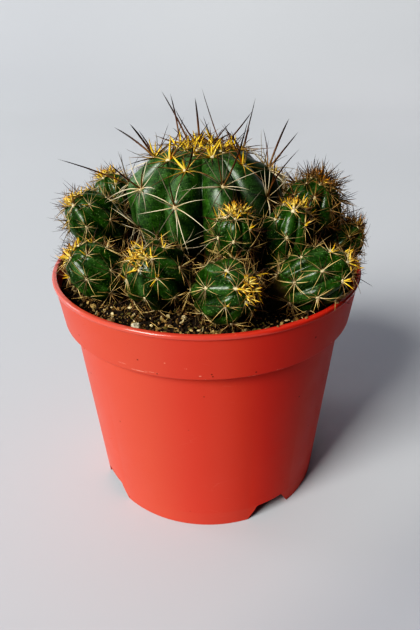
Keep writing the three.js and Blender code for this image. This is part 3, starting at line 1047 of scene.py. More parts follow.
    def _add_chunks(self, sculpt: Sculpt, rng: np.random.Generator) -> None:
        """Adds the few big pieces of pumice and bark at the front, and the crumbs that lie on the rim.

        Args:
            sculpt: The piece that gathers them.
            rng: The random draw.
        """
        blob = Blob.rounded(3)
        for x, y, size, colour in self.chunks:
            lumps = np.array([1 + 0.35 * fractal(corner, 0.9, x) for corner in blob.corners])
            shape = blob.corners * lumps[:, None] * (1, 0.8, 0.75) * size
            turn = np.array(Matrix.Rotation(rng.uniform(0, 3), 3, "Z"))
            on_rim = math.hypot(x, y) > self.pot.inner_radius(self.edge)
            rest = self.pot.height if on_rim else float(self.height(np.array([x]), np.array([y]))[0])
            z = rest + 0.45 * size
            sculpt.add_blobs(blob, (shape @ turn.T + (x, y, z))[None], np.array([colour]))

    def _add_fibres(self, sculpt: Sculpt, rng: np.random.Generator, clump: "Clump") -> None:
        """Adds roots and dropped spines that lie on the soil.

        Args:
            sculpt: The piece that gathers them.
            rng: The random draw.
            clump: The heads that they lie between.
        """
        off_wall = np.full(self.fibres, 7.0)
        places = self._scatter(rng, self.fibres, off_wall, clump)
        fibres = []
        for place in places:
            turn = rng.uniform(0, 2 * math.pi)
            way = unit(np.array((math.cos(turn), math.sin(turn), rng.uniform(-0.05, 0.3))))
            bow = np.append(rng.uniform(-0.3, 0.3, 2), -way[2] * 1.2)
            colours = np.array((TAN, STRAW, TAN)) * rng.uniform(0.3, 1.25)
            fibre = Spine(place + UP * 0.5, way, bow, rng.uniform(1.8, 6.5), rng.uniform(0.07, 0.17), colours)
            fibres.append(fibre)
        sweep(sculpt, fibres, np.array([0.8, 0.5, 0.25, 0.0]), 4)

    def build(self, clump: "Clump", material: bpy.types.Material) -> None:
        """Makes the soil and what lies on it.

        Args:
            clump: The heads, which the crumbs lie clear of.
            material: The soil's finish.
        """
        dress(self._body(), material, "soil", "soil")
        dress(self._crumbs(clump), material, "soil")


# ---------------------------------------------------------------- heads


@dataclass(frozen=True)
class Areole:
    """A woolly cushion on a rib's ridge, where spines grow. walk is its way down the ridge from the crown."""

    root: np.ndarray
    normal: np.ndarray
    up: np.ndarray
    side: np.ndarray
    walk: float


@dataclass(frozen=True)
class SpineSort:
    """One sort of spine, with ranges in millimetres and degrees.

    turn is measured round the areole from the way to the crown, and lean out of the skin. bow is how far
    the tip bends from the straight line, as a share of the length, towards the crown.
    """

    count: Span
    length: Span
    width: float
    lean: Span
    turn: Span
    colours: tuple[Colour, ...]
    bow: Span = (-0.12, 0.1)


ALL_ROUND: Span = (-180, 180)
BONE = paint(226, 212, 180)
STRAW = paint(214, 184, 118)
TAN = paint(158, 122, 70)
LEMON = paint(255, 234, 140)
YELLOW = paint(250, 208, 56)
AMBER = paint(226, 138, 28)
BROWN = paint(88, 50, 24)
HORN = paint(40, 26, 18)
BLACK = paint(22, 16, 14)
GREY = paint(118, 106, 86)


class Growth(Enum):
    """The sorts of spine on an areole, for each kind of head and age."""

    MOTHER_CROWN = (
        SpineSort((1, 3), (2.6, 5.6), 0.4, (20, 82), ALL_ROUND, (LEMON, YELLOW, YELLOW, BROWN)),
        SpineSort((5, 7), (3.8, 8.0), 0.14, (10, 60), ALL_ROUND, (YELLOW, TAN, BROWN, HORN)),
    )
    MOTHER_UPPER = (
        SpineSort((9, 11), (7, 14), 0.19, (10, 34), ALL_ROUND, (YELLOW, TAN, BROWN, TAN), (-0.25, 0.15)),
        SpineSort((1, 3), (4.0, 8.0), 0.38, (38, 82), (-90, 90), (LEMON, YELLOW, YELLOW, BROWN)),
        SpineSort((0, 2), (8, 15), 0.26, (40, 70), (-60, 60), (AMBER, BROWN, HORN, BLACK), (0.02, 0.2)),
    )
    MOTHER_SIDE = (
        SpineSort((9, 12), (8, 17), 0.18, (8, 32), ALL_ROUND, (STRAW, BONE, BONE, GREY), (-0.3, 0.15)),
        SpineSort((1, 1), (11, 17), 0.25, (30, 60), (-60, 60), (TAN, BROWN, HORN, BLACK), (0.0, 0.16)),
    )
    OFFSET_CROWN = (
        SpineSort((6, 9), (1.6, 4.4), 0.31, (8, 88), ALL_ROUND, (LEMON, LEMON, YELLOW, AMBER), (-0.25, 0.25)),
        SpineSort((4, 6), (3.0, 6.6), 0.11, (12, 70), ALL_ROUND, (YELLOW, TAN, BROWN, HORN)),
    )
    OFFSET_UPPER = (
        SpineSort((10, 13), (3.4, 7.2), 0.13, (8, 38), ALL_ROUND, (BONE, STRAW, TAN, BROWN)),
        SpineSort((1, 3), (2.0, 4.8), 0.24, (30, 78), (-110, 110), (LEMON, YELLOW, YELLOW, AMBER)),
        SpineSort((3, 5), (4.0, 8.5), 0.11, (30, 78), (-150, 150), (TAN, BROWN, HORN, BLACK)),
    )
    OFFSET_SIDE = (
        SpineSort((10, 14), (3.6, 8.0), 0.13, (6, 38), ALL_ROUND, (BONE, STRAW, STRAW, TAN), (-0.25, 0.15)),
        SpineSort((4, 6), (4.5, 9.5), 0.11, (20, 75), ALL_ROUND, (TAN, BROWN, HORN, BLACK)),
    )
    SHAGGY_CROWN = (
        SpineSort((5, 7), (1.8, 5.0), 0.25, (15, 85), ALL_ROUND, (LEMON, YELLOW, AMBER, AMBER)),
        SpineSort((12, 15), (3.6, 8.2), 0.12, (8, 75), ALL_ROUND, (STRAW, TAN, TAN, BROWN)),
        SpineSort((3, 4), (5, 10), 0.15, (25, 80), ALL_ROUND, (BROWN, HORN, BLACK, BLACK)),
    )
    SHAGGY_SIDE = (
        SpineSort((15, 19), (4.0, 8.8), 0.12, (6, 60), ALL_ROUND, (STRAW, TAN, TAN, HORN), (-0.25, 0.15)),
        SpineSort((4, 6), (4.5, 9.5), 0.14, (30, 78), (-150, 150), (TAN, BROWN, HORN, BLACK)),
    )


SHAGGY = (Growth.SHAGGY_CROWN, Growth.SHAGGY_SIDE, Growth.SHAGGY_SIDE)


@dataclass(frozen=True)
class HeadForm:
    """One head: a ribbed body on a neck, with areoles down its ridges.

    at is its middle, lean the way that its crown points, and crown and foot the heights of its ends above
    and below the middle. spin turns the ribs. Down a ridge, first is the way from the crown to the first
    areole, starts gives it for each rib where they differ, and step is the way to the next one. crowded
    holds extra ones at the crown, on every other rib if it holds only one. leaders are the tips of its
    longest spines. seat is where the neck ends, if not in the soil. stations are the rings of the skin and
    facets the corners of a ring on each rib. growth names the spines at each age, and ages are the ways down
    a ridge at which an age ends. mound is how far the skin swells round an areole, wool the size of its
    cushion, crest how round the ridges are, and fade how far towards the ends they last.
    """

    name: str
    at: Point
    lean: Point
    radius: float
    crown: float
    foot: float
    seed: int
    spin: float = -107.0
    ribs: int = 8
    first: float = 3.2
    step: float = 8.4
    starts: tuple[float, ...] = ()
    crowded: tuple[float, ...] = (1.6,)
    leaders: tuple[Point, ...] = ()
    seat: Point | None = None
    stations: int = 58
    facets: int = 12
    mound: float = 0.75
    wool: float = 0.84
    growth: tuple[Growth, Growth, Growth] = (Growth.OFFSET_CROWN, Growth.OFFSET_UPPER, Growth.OFFSET_SIDE)
    ages: Span = (3.0, 8.5)
    rib_depth: float = 0.21
    crest: float = 0.26
    fade: float = 1.8
    lowest_areole: float = -52.0
    neck_latitude: float = -62.0
    neck_foot: float = 71.0

    @property
    def axis(self) -> np.ndarray:
        """The direction from the head's middle to its crown."""
        return unit(np.array(self.lean))

    def _height(self, latitude: np.ndarray) -> np.ndarray:
        """The half height that counts at a latitude."""
        return np.where(latitude > 0, self.crown, self.foot)

    def outward(self, angle: np.ndarray) -> np.ndarray:
        """The level direction at an angle round the head's own axis."""
        flat = np.stack([np.cos(angle), np.sin(angle), 0 * angle], -1)
        return flat @ turn_between(UP, self.axis).T

    def skin(self, angle: np.ndarray, latitude: np.ndarray) -> tuple[np.ndarray, np.ndarray, np.ndarray]:
        """The ribbed skin.

        Args:
            angle: Radians round the axis.
            latitude: Degrees above the middle.

        Returns:
            Points, their outward directions, and how deep in a furrow they lie, from 0 to 1.
        """
        up = np.radians(latitude)
        ribbed = np.minimum(1, self.fade * np.cos(up))
        turn = (angle - math.radians(self.spin)) * self.ribs / (2 * math.pi)
        flank = 2 * np.abs(turn - np.round(turn))
        face = (np.hypot(flank, self.crest) - self.crest) / (math.hypot(1, self.crest) - self.crest)
        furrow = 0.6 * face + 0.4 * flank**5
        away = self.radius * np.cos(up) * (1 - self.rib_depth * ribbed * furrow)
        lift = np.sin(up) * self._height(latitude)
        out = self.outward(angle)
        points = np.array(self.at) + out * away[..., None] + self.axis * lift[..., None]
        normal = out * (np.cos(up) / self.radius)[..., None]
        normal = unit(normal + self.axis * (np.sin(up) / self._height(latitude))[..., None])
        return points, normal, furrow * ribbed

    def areoles(self) -> list[Areole]:
        """Sets out the areoles an even step apart down every ridge, lower on every other rib.

        Returns:
            The areoles, rib by rib.
        """
        found = []
        lower = 1.4
        everywhere = len(self.crowded) > 1
        latitudes = np.arange(90, self.lowest_areole, -0.5)
        for rib in range(self.ribs):
            odd = rib % 2
            angle = np.full(len(latitudes), math.radians(self.spin + 360 / self.ribs * rib))
            points, normals, _ = self.skin(angle, latitudes)
            walked = np.concatenate([[0], np.cumsum(np.linalg.norm(np.diff(points, axis=0), axis=1))])
            side = unit(np.cross(self.axis, self.outward(angle[:1])[0]))
            start = self.starts[rib] if self.starts else self.first + odd * self.step / 2
            stops = [close + odd * lower for close in self.crowded if everywhere or not odd]
            stops += list(np.arange(start, walked[-1], self.step))
            for stop in stops:
                i = int(np.searchsorted(walked, stop))
                up = unit(np.cross(normals[i], side))
                found.append(Areole(points[i], normals[i], up, side, stop))
        return found

    def _raised(
        self, points: np.ndarray, normals: np.ndarray, areoles: list[Areole]
    ) -> tuple[np.ndarray, np.ndarray]:
        """Swells the skin round each areole and sinks it under the wool.

        Args:
            points: Skin points shaped (n, 3).
            normals: Their outward directions.
            areoles: The head's areoles.

        Returns:
            The moved points, and how near an areole each is, from 0 to 1.
        """
        broad, tight, close = 3.4, 1.1, 1.5
        dip, uneven = 0.55, 0.012
        swell = np.zeros(len(points))
        near = np.zeros(len(points))
        for areole in areoles:
            apart = np.linalg.norm(points - areole.root, axis=1) / self.wool
            grown = min(1.0, areole.walk / self.ages[0])
            swell += self.mound * grown * np.exp(-((apart / broad) ** 2))
            swell -= dip * self.mound * grown * np.exp(-((apart / tight) ** 2))
            near = np.maximum(near, np.exp(-((apart / close) ** 2)))
        slow = np.array([fractal(point, self.radius, self.seed) for point in points]) * uneven * self.radius
        return points + normals * (np.minimum(swell, self.mound) + slow)[:, None], near

    def settled(self, areoles: list[Areole]) -> list[Areole]:
        """Lifts the areoles onto the swollen skin.

        Args:
            areoles: The head's areoles.

        Returns:
            The areoles in their new places.
        """
        roots = np.array([areole.root for areole in areoles])
        moved, _ = self._raised(roots, np.array([areole.normal for areole in areoles]), areoles)
        return [replace(areole, root=root) for areole, root in zip(areoles, moved)]

    def build_skin(self, areoles: list[Areole], material: bpy.types.Material, slot: str) -> None:
        """Makes the head's body and neck.

        Args:
            areoles: The head's areoles.
            material: The skin.
            slot: The record's slot for it.
        """
        columns = self.ribs * self.facets
        angles = math.radians(self.spin) + np.linspace(0, 2 * math.pi, columns, endpoint=False)
        latitudes = np.linspace(90, self.neck_latitude, self.stations + 1)[1:]
        angle, latitude = np.meshgrid(angles, latitudes)
        points, normals, furrow = self.skin(angle.ravel(), latitude.ravel())
        points, near = self._raised(points, normals, areoles)
        body = points.reshape(self.stations, columns, 3)
        rim = body[-1]
        centre = rim.mean(0)
        end = np.array(self.seat) if self.seat else np.append((centre - self.axis * 4)[:2], self.neck_foot)
        way = unit(centre - end)
        width = np.linalg.norm(rim - centre, axis=1).mean()
        foot = end + self.outward(angles) @ turn_between(self.axis, way).T * width
        neck_rings = 4
        shares = np.linspace(0, 1, neck_rings + 1)[1:, None, None]
        rings = np.concatenate([body, rim * (1 - shares) + foot * shares])
        top = self.skin(np.zeros(1), np.full(1, 90.0))[0]
        low = np.zeros((neck_rings, columns))
        furrow = np.concatenate([furrow.reshape(body.shape[:2]), low + furrow[-columns:] * 0.5])
        near = np.concatenate([near.reshape(body.shape[:2]), low])
        down = np.linspace(0, 1, len(rings))[:, None] + low[:1]
        form = np.stack([furrow, down, near], -1)
        form = np.concatenate([form[:1] * (1, 0, 1), form, form[-1:]])
        sculpt = Sculpt(f"{self.name}_skin")
        sculpt.add_shells(rings[None], top, end[None], form[None])
        dress(sculpt.build(stored="form"), material, slot, self.name)


@dataclass(frozen=True)
class Spine:
    """One spine, from its sunk root."""

    root: np.ndarray
    way: np.ndarray
    bow: np.ndarray
    length: float
    width: float
    colours: np.ndarray

    def along(self, at: np.ndarray) -> np.ndarray:
        """Points at shares of its length."""
        at = at[:, None]
        return self.root + (self.way * at + self.bow * at**2) * self.length


def sweep(sculpt: Sculpt, spines: list[Spine], levels: np.ndarray, sides: int, taper: float = 1.8) -> None:
    """Adds tapered round spines to a piece.

    Args:
        sculpt: The piece.
        spines: The spines.
        levels: Shares of the length where rings stand, from the tip's side down to 0.
        sides: Sides of a spine.
        taper: How late a spine narrows towards its tip.
    """
    root = np.array([s.root for s in spines])
    way = np.array([s.way for s in spines])
    bow = np.array([s.bow for s in spines])
    length = np.array([s.length for s in spines])[:, None]
    width = np.array([s.width for s in spines])[:, None, None, None]
    steep = np.abs(way[:, 2:]) > 0.8
    across = unit(np.cross(way, np.where(steep, (1.0, 0, 0), (0, 0, 1.0))))
    other = np.cross(way, across)
    at = levels[None, :, None]
    centres = root[:, None] + (way[:, None] * at + bow[:, None] * at**2) * length[..., None]
    angles = np.linspace(0, 2 * math.pi, sides, endpoint=False)
    circle = np.cos(angles)[:, None] * across[:, None] + np.sin(angles)[:, None] * other[:, None]
    slimming = 0.85
    narrowed = (1 - slimming * levels**taper)[None, :, None, None]
    rings = centres[:, :, None] + circle[:, None] * width * narrowed
    tips = root + (way + bow) * length
    tints = blend_along(np.array([s.colours for s in spines]), np.concatenate([[1.0], levels, [0.0]]))
    sculpt.add_shells(rings, tips, root, tints[:, :, None])


@dataclass
class Clump:
    """All the heads, with the room that their spines may fill.

    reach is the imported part's box, and margin how far spines stay inside it. sunk is how deep a spine is
    rooted. A spine that isn't free is made shorter, up to tries times. The off_ fields are a spine's least
    distances from the pot's rim and wall, the soil and other heads. Spines above bold_width keep their full
    brightness, and fresh_share is how many of the thinner ones aren't darkened. The seeds are added to a
    head's own.
    """

    heads: list[HeadForm]
    pot: NurseryPot
    reach: tuple[np.ndarray, np.ndarray]
    sunk: float = 0.15
    margin: float = 0.25
    off_rim: float = 0.4
    off_wall: float = 0.6
    off_soil: float = 0.3
    off_heads: float = 0.15
    tries: int = 5
    shortening: float = 0.82
    bold_width: float = 0.23
    fresh_share: float = 0.62
    leader_width: float = 0.3
    leader_colours: tuple[Colour, ...] = (TAN, BROWN, HORN, BLACK)
    wool_colours: tuple[Colour, ...] = (paint(250, 236, 190), paint(232, 212, 160), paint(178, 152, 112))
    hairs: int = 22
    hair_width: float = 0.045
    leader_seed: int = 900
    wool_seed: int = 500

    def distance(self, points: np.ndarray, skipped: HeadForm | None = None) -> np.ndarray:
        """About how far points lie outside the nearest head, taken as a smooth round body.

        Args:
            points: Places shaped (n, 3).
            skipped: A head that doesn't count.

        Returns:
            Distances in millimetres, negative inside a head.
        """
        far = 99.0
        nearest = np.full(len(points), far)
        for head in self.heads:
            if head is skipped:
                continue
            apart = points - np.array(head.at)
            along = apart @ head.axis
            height = np.where(along > 0, head.crown, head.foot)
            across = np.sqrt(np.maximum((apart**2).sum(1) - along**2, 0))
            body = (np.hypot(across / head.radius, along / height) - 1) * np.minimum(head.radius, height)
            nearest = np.minimum(nearest, body)
        return nearest

    def is_free(self, spine: Spine, owner: HeadForm, soil: PottingMix) -> bool:
        """Whether a spine keeps clear of the pot, the soil, other heads and the part's reach.

        Args:
            spine: The spine.
            owner: The head that it grows on.
            soil: The soil.

        Returns:
            True where nothing is in its way.
        """
        points = spine.along(np.array([0.25, 0.4, 0.55, 0.7, 0.85, 1.0]))
        x, y, z = points.T
        low, high = self.reach
        if (points < low + self.margin).any() or (points > high - self.margin).any():
            return False
        away = np.hypot(x, y)
        inside = z < self.pot.height + self.off_rim
        mouth = self.pot.inner_radius(self.pot.height - self.pot.lip_height)
        if (inside & (away > mouth - self.off_wall)).any():
            return False
        if (inside & (z < soil.height(x, y) + self.off_soil)).any():
            return False
        return bool((self.distance(points, owner) > self.off_heads).all())

    def _spines(self, head: HeadForm, areoles: list[Areole], soil: PottingMix) -> list[Spine]:
        """Draws the spines of one head, duller on the areoles far down its sides.

        Args:
            head: The head.
            areoles: Its areoles.
            soil: The soil that spines keep clear of.

        Returns:
            The spines that found room.
        """
        rng = np.random.default_rng(head.seed)
        spines = []
        for areole in areoles:
            age = sum(areole.walk > limit for limit in head.ages)
            low = min(1.0, max(0.0, areole.walk - 26) / 18)
            tone = rng.uniform(0.75, 1.1) * (1 - 0.45 * low)
            for sort in head.growth[age].value:
                count = int(rng.integers(sort.count[0], sort.count[1] + 1))
                all_round = sort.turn[1] - sort.turn[0] >= 360
                start = rng.uniform(0, 360)
                for i in range(count):
                    even = start + 360 / count * i
                    turn = even + rng.uniform(-20, 20) if all_round else rng.uniform(*sort.turn)
                    spine = self._spine(head, areole, sort, math.radians(turn), tone, rng)
                    for _ in range(self.tries):
                        if self.is_free(spine, head, soil):
                            spines.append(spine)
                            break
                        spine = replace(spine, length=spine.length * self.shortening)
        return spines

    def _leaders(self, head: HeadForm, areoles: list[Areole]) -> list[Spine]:
        """Makes the head's longest spines, each from the areole that is near its tip and faces it best.

        Unlike the other spines, they aren't tested for room.

        Args:
            head: The head.
            areoles: Its areoles.

        Returns:
            One spine for each of the head's leaders.
        """
        rng = np.random.default_rng(head.seed + self.leader_seed)
        least_facing, crowded = 0.05, 1.6
        spines = []
        crowding = np.ones(len(areoles))
        for tip in head.leaders:
            apart = np.array(tip) - np.array([areole.root for areole in areoles])
            length = np.linalg.norm(apart, axis=1)
            facing = (unit(apart) * np.array([areole.normal for areole in areoles])).sum(1)
            chosen = int(np.argmin(length / np.maximum(facing, least_facing) * crowding))
            crowding[chosen] *= crowded
            areole = areoles[chosen]
            root = areole.root - areole.normal * self.sunk
            bend = areole.normal * rng.uniform(-0.2, 0.28) + rng.normal(size=3) * 0.1
            reach = float(np.linalg.norm(np.array(tip) - root))
            way = (np.array(tip) - root) / reach - bend
            colours = np.array(self.leader_colours) * rng.uniform(0.8, 1.2)
            width = self.leader_width * rng.uniform(0.9, 1.15)
            spines.append(Spine(root, way, bend, reach, width, colours))
        return spines

    def _spine(
        self,
        head: HeadForm,
        areole: Areole,
        sort: SpineSort,
        turn: float,
        tone: float,
        rng: np.random.Generator,
    ) -> Spine:
        """Draws one spine.

        Args:
            head: Its head.
            areole: Its areole.
            sort: Its sort.
            turn: Radians round the areole from the way to the crown.
            tone: Brightness of the areole's spines.
            rng: The random draw.

        Returns:
            The spine.
        """
        lean = math.radians(rng.uniform(*sort.lean))
        flat = areole.up * math.cos(turn) + areole.side * math.sin(turn)
        way = flat * math.cos(lean) + areole.normal * math.sin(lean)
        root = areole.root - areole.normal * self.sunk + flat * head.wool * 0.2
        bend = areole.up * rng.uniform(*sort.bow) + np.cross(way, areole.normal) * rng.uniform(-0.2, 0.2)
        bend = bend - areole.normal * rng.uniform(0, 0.22)
        bold = sort.width > self.bold_width
        fresh = bold or rng.random() < self.fresh_share
        tone = (1.0 if bold else tone) * (rng.uniform(0.85, 1.25) if fresh else rng.uniform(0.15, 0.5))
        colours = np.array(sort.colours) * tone
        width = sort.width * rng.uniform(0.85, 1.15)
        return Spine(root, way, bend, rng.uniform(*sort.length) + self.sunk, width, colours)

    def _fuzz(self, head: HeadForm, areoles: list[Areole], sculpt: Sculpt) -> None:
        """Adds each areole's cushion of wool, with loose hairs on it.

        Args:
            head: The head.
            areoles: Its areoles.
            sculpt: The piece that gathers the wool.
        """
        rng = np.random.default_rng(head.seed + self.wool_seed)
        corners, levels = 9, 4
        angles = np.linspace(0, 2 * math.pi, corners, endpoint=False)
        climb = np.radians(np.linspace(72, -40, levels))[:, None]
        flat = np.cos(climb)
        ball = np.stack([flat * np.cos(angles), flat * np.sin(angles), np.sin(climb) + 0 * angles], -1)
        hairs = []
        for areole in areoles:
            age = min(1.0, areole.walk / (3.0 * head.step))
            tint = blend_along(np.array(self.wool_colours), np.array([age]))[0]
            size = head.wool * (0.9 - 0.2 * age) * rng.uniform(0.8, 1.15)
            frame_here = np.stack([areole.side, areole.up, areole.normal])
            lumpy = ball * rng.uniform(0.65, 1.2, (levels, corners, 1)) * (0.9, 1.2, 0.6) * size
            rings = areole.root - areole.normal * 0.1 * size + lumpy @ frame_here
            top = areole.root + areole.normal * 0.4 * size
            bottom = areole.root - areole.normal * size
            tints = np.broadcast_to(tint, (1, levels + 2, 1, 3))
            sculpt.add_shells(rings[None], top[None], bottom[None], tints)
            for _ in range(self.hairs):
                side, up, out = rng.normal(size=3) * (1, 1.2, 0.6)
                way = unit(side * areole.side + up * areole.up + abs(out) * areole.normal)
                bend = rng.normal(size=3) * 0.3
                length = size * rng.uniform(0.7, 1.3)
                root = areole.root + way * size * 0.3
                hair = Spine(root, way, bend, length, self.hair_width, np.array([tint] * 2))
                if (hair.along(np.ones(1)) < self.reach[1] - self.margin).all():
                    hairs.append(hair)
        sweep(sculpt, hairs, np.array([0.6, 0.0]), 3)

    def build(
        self,
        soil: PottingMix,
        skins: dict[str, bpy.types.Material],
        horn: bpy.types.Material,
        wool: bpy.types.Material,
    ) -> None:
        """Makes every head with its wool and spines.

        Args:
            soil: The soil that spines keep clear of.
            skins: The skin for each of the record's slots.
            horn: The spines' finish.
            wool: The wool's finish.
        """
        for head in self.heads:
            mother = head is self.heads[0]
            slot = "old_flesh" if mother else "young_flesh"
            areoles = head.areoles()
            head.build_skin(areoles, skins[slot], slot)
            areoles = head.settled(areoles)
            spines = Sculpt(f"{head.name}_spines")
            levels = np.array([0.85, 0.65, 0.45, 0.25, 0.0]) if mother else np.array([0.8, 0.5, 0.25, 0.0])
            if head.leaders:
                sweep(spines, self._leaders(head, areoles), levels, 6, taper=4.2)
            sweep(spines, self._spines(head, areoles, soil), levels, 6 if mother else 4)
            dress(spines.build(), horn, slot)
            cushions = Sculpt(f"{head.name}_wool")
            self._fuzz(head, areoles, cushions)
            dress(cushions.build(), wool, slot)


def offset(
    number: int, at: Point, lean: Point, radius: float, crown: float, foot: float, **more: object
) -> HeadForm:
    """Sets out one offset.

    Args:
        number: Its number, which names and seeds it.
        at: Its middle.
        lean: The way that its crown points.
        radius: Its radius.
        crown: Height of its crown above the middle.
        foot: Depth of its foot below the middle.
        **more: Other fields of its form.

    Returns:
        The offset's form.
    """
    return HeadForm(f"offset_{number:02}", at, lean, radius, crown, foot, seed=99 + number, **more)


def plant_clump(pot: NurseryPot) -> Clump:
    """Sets out the mother head and its fourteen offsets.

    Args:
        pot: The pot that they grow in.

    Returns:
        The clump.
    """
    mother = HeadForm(
        "main_stem", (-0.5, 5, 106), (0, 0, 1), 25.5, 15, 27, seed=11, spin=-146, ribs=10, first=9.5, step=13,
        crowded=(3.0, 6.4), stations=120, facets=24, mound=0.9, wool=1.2, ages=(8.5, 20.0), rib_depth=0.27,
        starts=(13, 16, 9.5, 16, 9.5, 16, 9.5, 16, 9.5, 16),
        growth=(Growth.MOTHER_CROWN, Growth.MOTHER_UPPER, Growth.MOTHER_SIDE),
        leaders=(
            (-48, 3, 119), (-29, -11, 121), (-30, 12, 127), (-25, 13, 128), (-22, 12, 126), (-15, 28, 136),
            (-12, 29, 135), (-10, 17, 132), (-3, 12, 136), (-1, 34, 136), (17, 17, 135), (16, 16, 131),
            (15, 14, 126), (28, 13, 129), (31, 11, 125), (26.6, -22, 127), (12, -22, 135), (-3, -26, 130),
        ),
    )
    offsets = (
        offset(1, (-38.7, 7.4, 96.6), (-0.6, -0.23, 0.77), 9.3, 10, 14, spin=-87),
        offset(2, (-33.3, 24.5, 97.5), (-0.3, 0.17, 0.94), 8.2, 10, 16),
        offset(3, (-34.3, -19.9, 89.4), (-0.76, -0.01, 0.65), 8.2, 9.1, 11, spin=-90),
        offset(4, (-14.6, -30, 92.5), (-0.36, -0.56, 0.75), 9.8, 10, 12),
        offset(5, (5.6, -37.6, 90.5), (0.53, -0.74, 0.41), 9.3, 10, 11, spin=-165),
        offset(
            6, (8.6, -25.6, 103.2), (0.05, -0.05, 1), 5.6, 6.5, 8,
            spin=-96, ribs=7, step=6, seat=(4.6, -12.5, 92),
        ),
        offset(7, (25, -15.6, 98.3), (0.2, 0.02, 0.98), 7.7, 9.8, 16, spin=-100),
        offset(8, (34.8, 1.2, 101.3), (0.3, -0.05, 0.95), 9.7, 10.1, 18, step=5.2, growth=SHAGGY),
        offset(9, (31.1, -29.8, 90.4), (0.9, -0.05, 0.44), 8.6, 11.7, 11, spin=-125),
        offset(10, (46.4, 0.4, 89.7), (0.73, 0.23, 0.64), 6.2, 7.4, 9, step=5.2, growth=SHAGGY),
        offset(11, (-19.9, 35, 93), (-0.35, 0.45, 0.82), 9.2, 10.5, 13),
        offset(12, (2, 38.6, 92), (0.05, 0.5, 0.86), 9.8, 11, 12),
        offset(13, (22.9, 33.2, 94), (0.35, 0.4, 0.85), 9.4, 10.5, 14),
        offset(14, (36.2, 21.8, 89.5), (0.76, 0.41, 0.51), 7.3, 8.5, 9),
    )
    low, high = (np.array(corner) / MM for corner in cad_bounds)
    return Clump([mother, *offsets], pot, (low, high))


# ---------------------------------------------------------------- studio


@dataclass(frozen=True)
class Lamp:
    """One square soft light. size is its side, and power is in watts."""

    name: str
    at: Point
    size: float
    power: float
    colour: Colour
    aim: Point = (0, 0, 60)

    def build(self) -> None:
        """Hangs the light so that it faces what it aims at."""
        light = bpy.data.lights.new(self.name, "AREA")
        light.size = self.size * MM
        light.energy = self.power
        light.color = self.colour
        lamp = bpy.data.objects.new(self.name, light)
        lamp.location = Vector(self.at) * MM
        lamp.rotation_euler = (Vector(self.aim) - Vector(self.at)).to_track_quat("-Z", "Y").to_euler()
        bpy.context.scene.collection.objects.link(lamp)


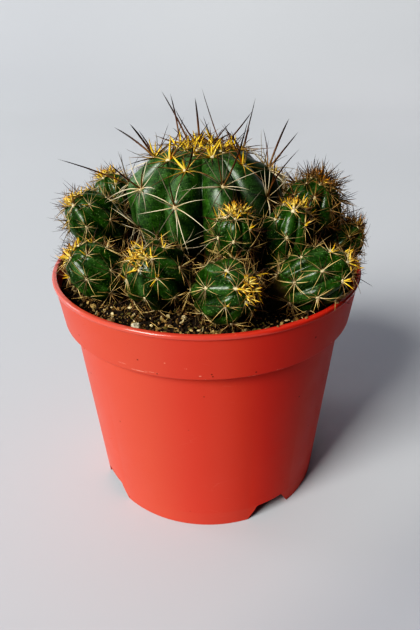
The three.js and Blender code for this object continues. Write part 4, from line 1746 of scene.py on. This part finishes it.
@dataclass(frozen=True)
class Studio:
    """A pale seamless sweep, a big soft light at the front left, a weak one on the left, and the camera.

    The camera stands at a distance from aim and looks down by elevation. The floor runs back level to
    wall_start and curves up into a wall there. bright_side is where the room is lightest, room_span how far
    round from there, as a cosine, it goes from dark to light. flag holds the two ends of the black card. toe
    gives the film's curve as exposed and shown values.
    """

    aim: Point = (0.93, 0, 62.3)
    distance: float = 212.2
    elevation: float = 28.8
    roll: float = -0.75
    lens: float = 33.14
    floor_half_width: float = 3000
    floor_front: float = -1500
    wall_start: float = 760
    wall_radius: float = 640
    wall_height: float = 2200
    bright_side: Point = (-0.75, 0.35, 0.55)
    room_span: Span = (-0.5, 0.9)
    room_light: float = 0.3
    room_dark: float = 0.015
    room_colour: Colour = (0.81, 0.81, 1.0)
    flag: tuple[Span, Span] = ((112, -150), (250, 330))
    flag_height: float = 200
    toe: tuple[Span, ...] = ((0.008, 0.0015), (0.03, 0.013), (0.08, 0.055), (0.2, 0.188), (0.5, 0.512))
    lamps: tuple[Lamp, ...] = (
        Lamp("key", (-4160, -4020, 4260), 3000, 760, (1.0, 0.99, 0.96)),
        Lamp("window", (-1300, 350, 500), 420, 4.0, (0.92, 0.96, 1.0)),
    )

    def _sweep(self) -> None:
        """Lays the floor that curves up into the wall."""
        steps = 24
        turns = [math.pi / 2 * i / steps for i in range(steps + 1)]
        radius = self.wall_radius
        path = [(self.floor_front, 0.0)]
        path += [(self.wall_start + radius * math.sin(t), radius * (1 - math.cos(t))) for t in turns]
        path.append((self.wall_start + radius, self.wall_height))
        sides = (-self.floor_half_width, self.floor_half_width)
        corners = [(x * MM, y * MM, z * MM) for y, z in path for x in sides]
        faces = [(2 * i, 2 * i + 1, 2 * i + 3, 2 * i + 2) for i in range(len(path) - 1)]
        mesh = bpy.data.meshes.new("floor")
        mesh.from_pydata(corners, [], faces)
        mesh.shade_smooth()
        mesh.materials.append(Tabletop().build())
        floor = bpy.data.objects.new("floor", mesh)
        bpy.context.scene.collection.objects.link(floor)

    def _room(self) -> None:
        """Lights the scene from all round: pale on the left, behind and above, dim in front on the right."""
        world = bpy.data.worlds.new("studio")
        world.use_nodes = True
        bpy.context.scene.world = world
        table = NodeTable(world.node_tree)
        way = table.add("ShaderNodeTexCoord", output="Generated")
        facing = {0: way, 1: self.bright_side}
        towards = table.add("ShaderNodeVectorMath", {"operation": "DOT_PRODUCT"}, facing, output="Value")
        light = towards.ramp(*self.room_span) * (self.room_light - self.room_dark) + self.room_dark
        glow = table.add("ShaderNodeBackground", None, {"Color": self.room_colour, "Strength": light})
        table.add("ShaderNodeOutputWorld", None, {"Surface": glow}, output=None)

    def _flag(self) -> None:
        """Stands a black card on the right, hidden from the camera, to keep light off the dark side."""
        corners = [(x * MM, y * MM, z * MM) for x, y in self.flag for z in (0.5, self.flag_height)]
        mesh = bpy.data.meshes.new("flag")
        mesh.from_pydata(corners, [], [(0, 2, 3, 1)])
        table = PaintTable("black_card", Roughness=0.9)
        table.set("Base Color", table.mix(table.clouds(4, 2) * 0.5, paint(9, 9, 10), paint(15, 15, 16)))
        mesh.materials.append(table.material)
        card = bpy.data.objects.new("flag", mesh)
        card.visible_camera = False
        bpy.context.scene.collection.objects.link(card)

    def _camera(self) -> None:
        """Sets the camera up in front, looking down on the plant."""
        down = math.radians(self.elevation)
        ahead = Vector((0, math.cos(down), -math.sin(down)))
        camera = bpy.data.objects.new("camera", bpy.data.cameras.new("camera"))
        camera.data.lens = self.lens
        camera.data.clip_start = 0.01
        camera.location = (Vector(self.aim) - ahead * self.distance) * MM
        turn = ahead.to_track_quat("-Z", "Y").to_matrix() @ Matrix.Rotation(math.radians(self.roll), 3, "Z")
        camera.rotation_euler = turn.to_euler()
        bpy.context.scene.collection.objects.link(camera)
        bpy.context.scene.camera = camera

    def _develop(self) -> None:
        """Sets a plain film with a gentle toe, so that shadows come out deep."""
        view = bpy.context.scene.view_settings
        view.view_transform = "Standard"
        view.use_curve_mapping = True
        points = view.curve_mapping.curves[3].points
        for exposed, shown in self.toe:
            points.new(exposed, shown)
        for point in points:
            point.handle_type = "VECTOR"
        view.curve_mapping.update()

    def build(self) -> None:
        """Makes the stage, the lights and the camera."""
        self._develop()
        self._room()
        self._sweep()
        self._flag()
        for lamp in self.lamps:
            lamp.build()
        self._camera()


# ---------------------------------------------------------------- assembly


def main() -> None:
    """Builds the studio and every piece of the plant, in order."""
    logging.basicConfig(level=logging.INFO, format="%(message)s")
    Studio().build()
    pot = NurseryPot()
    pot.build(MouldedPlastic().build())
    soil = PottingMix(pot)
    clump = plant_clump(pot)
    soil.build(clump, PottingSoil().build())
    skins = {
        "old_flesh": WaxySkin(
            "mother_skin", paint(19, 44, 8), paint(54, 93, 26), paint(96, 130, 86), paint(76, 62, 36),
            coat_roughness=0.36, coat=0.7, dark_side=(0.008, 0.018),
        ),
        "young_flesh": WaxySkin(
            "offset_skin", paint(16, 36, 6), paint(44, 80, 17), paint(84, 122, 66), paint(72, 60, 32)
        ),
    }
    made = {slot: skin.build() for slot, skin in skins.items()}
    clump.build(soil, made, SpineHorn().build(), AreoleWool().build())


if __name__ == "__main__":
    main()
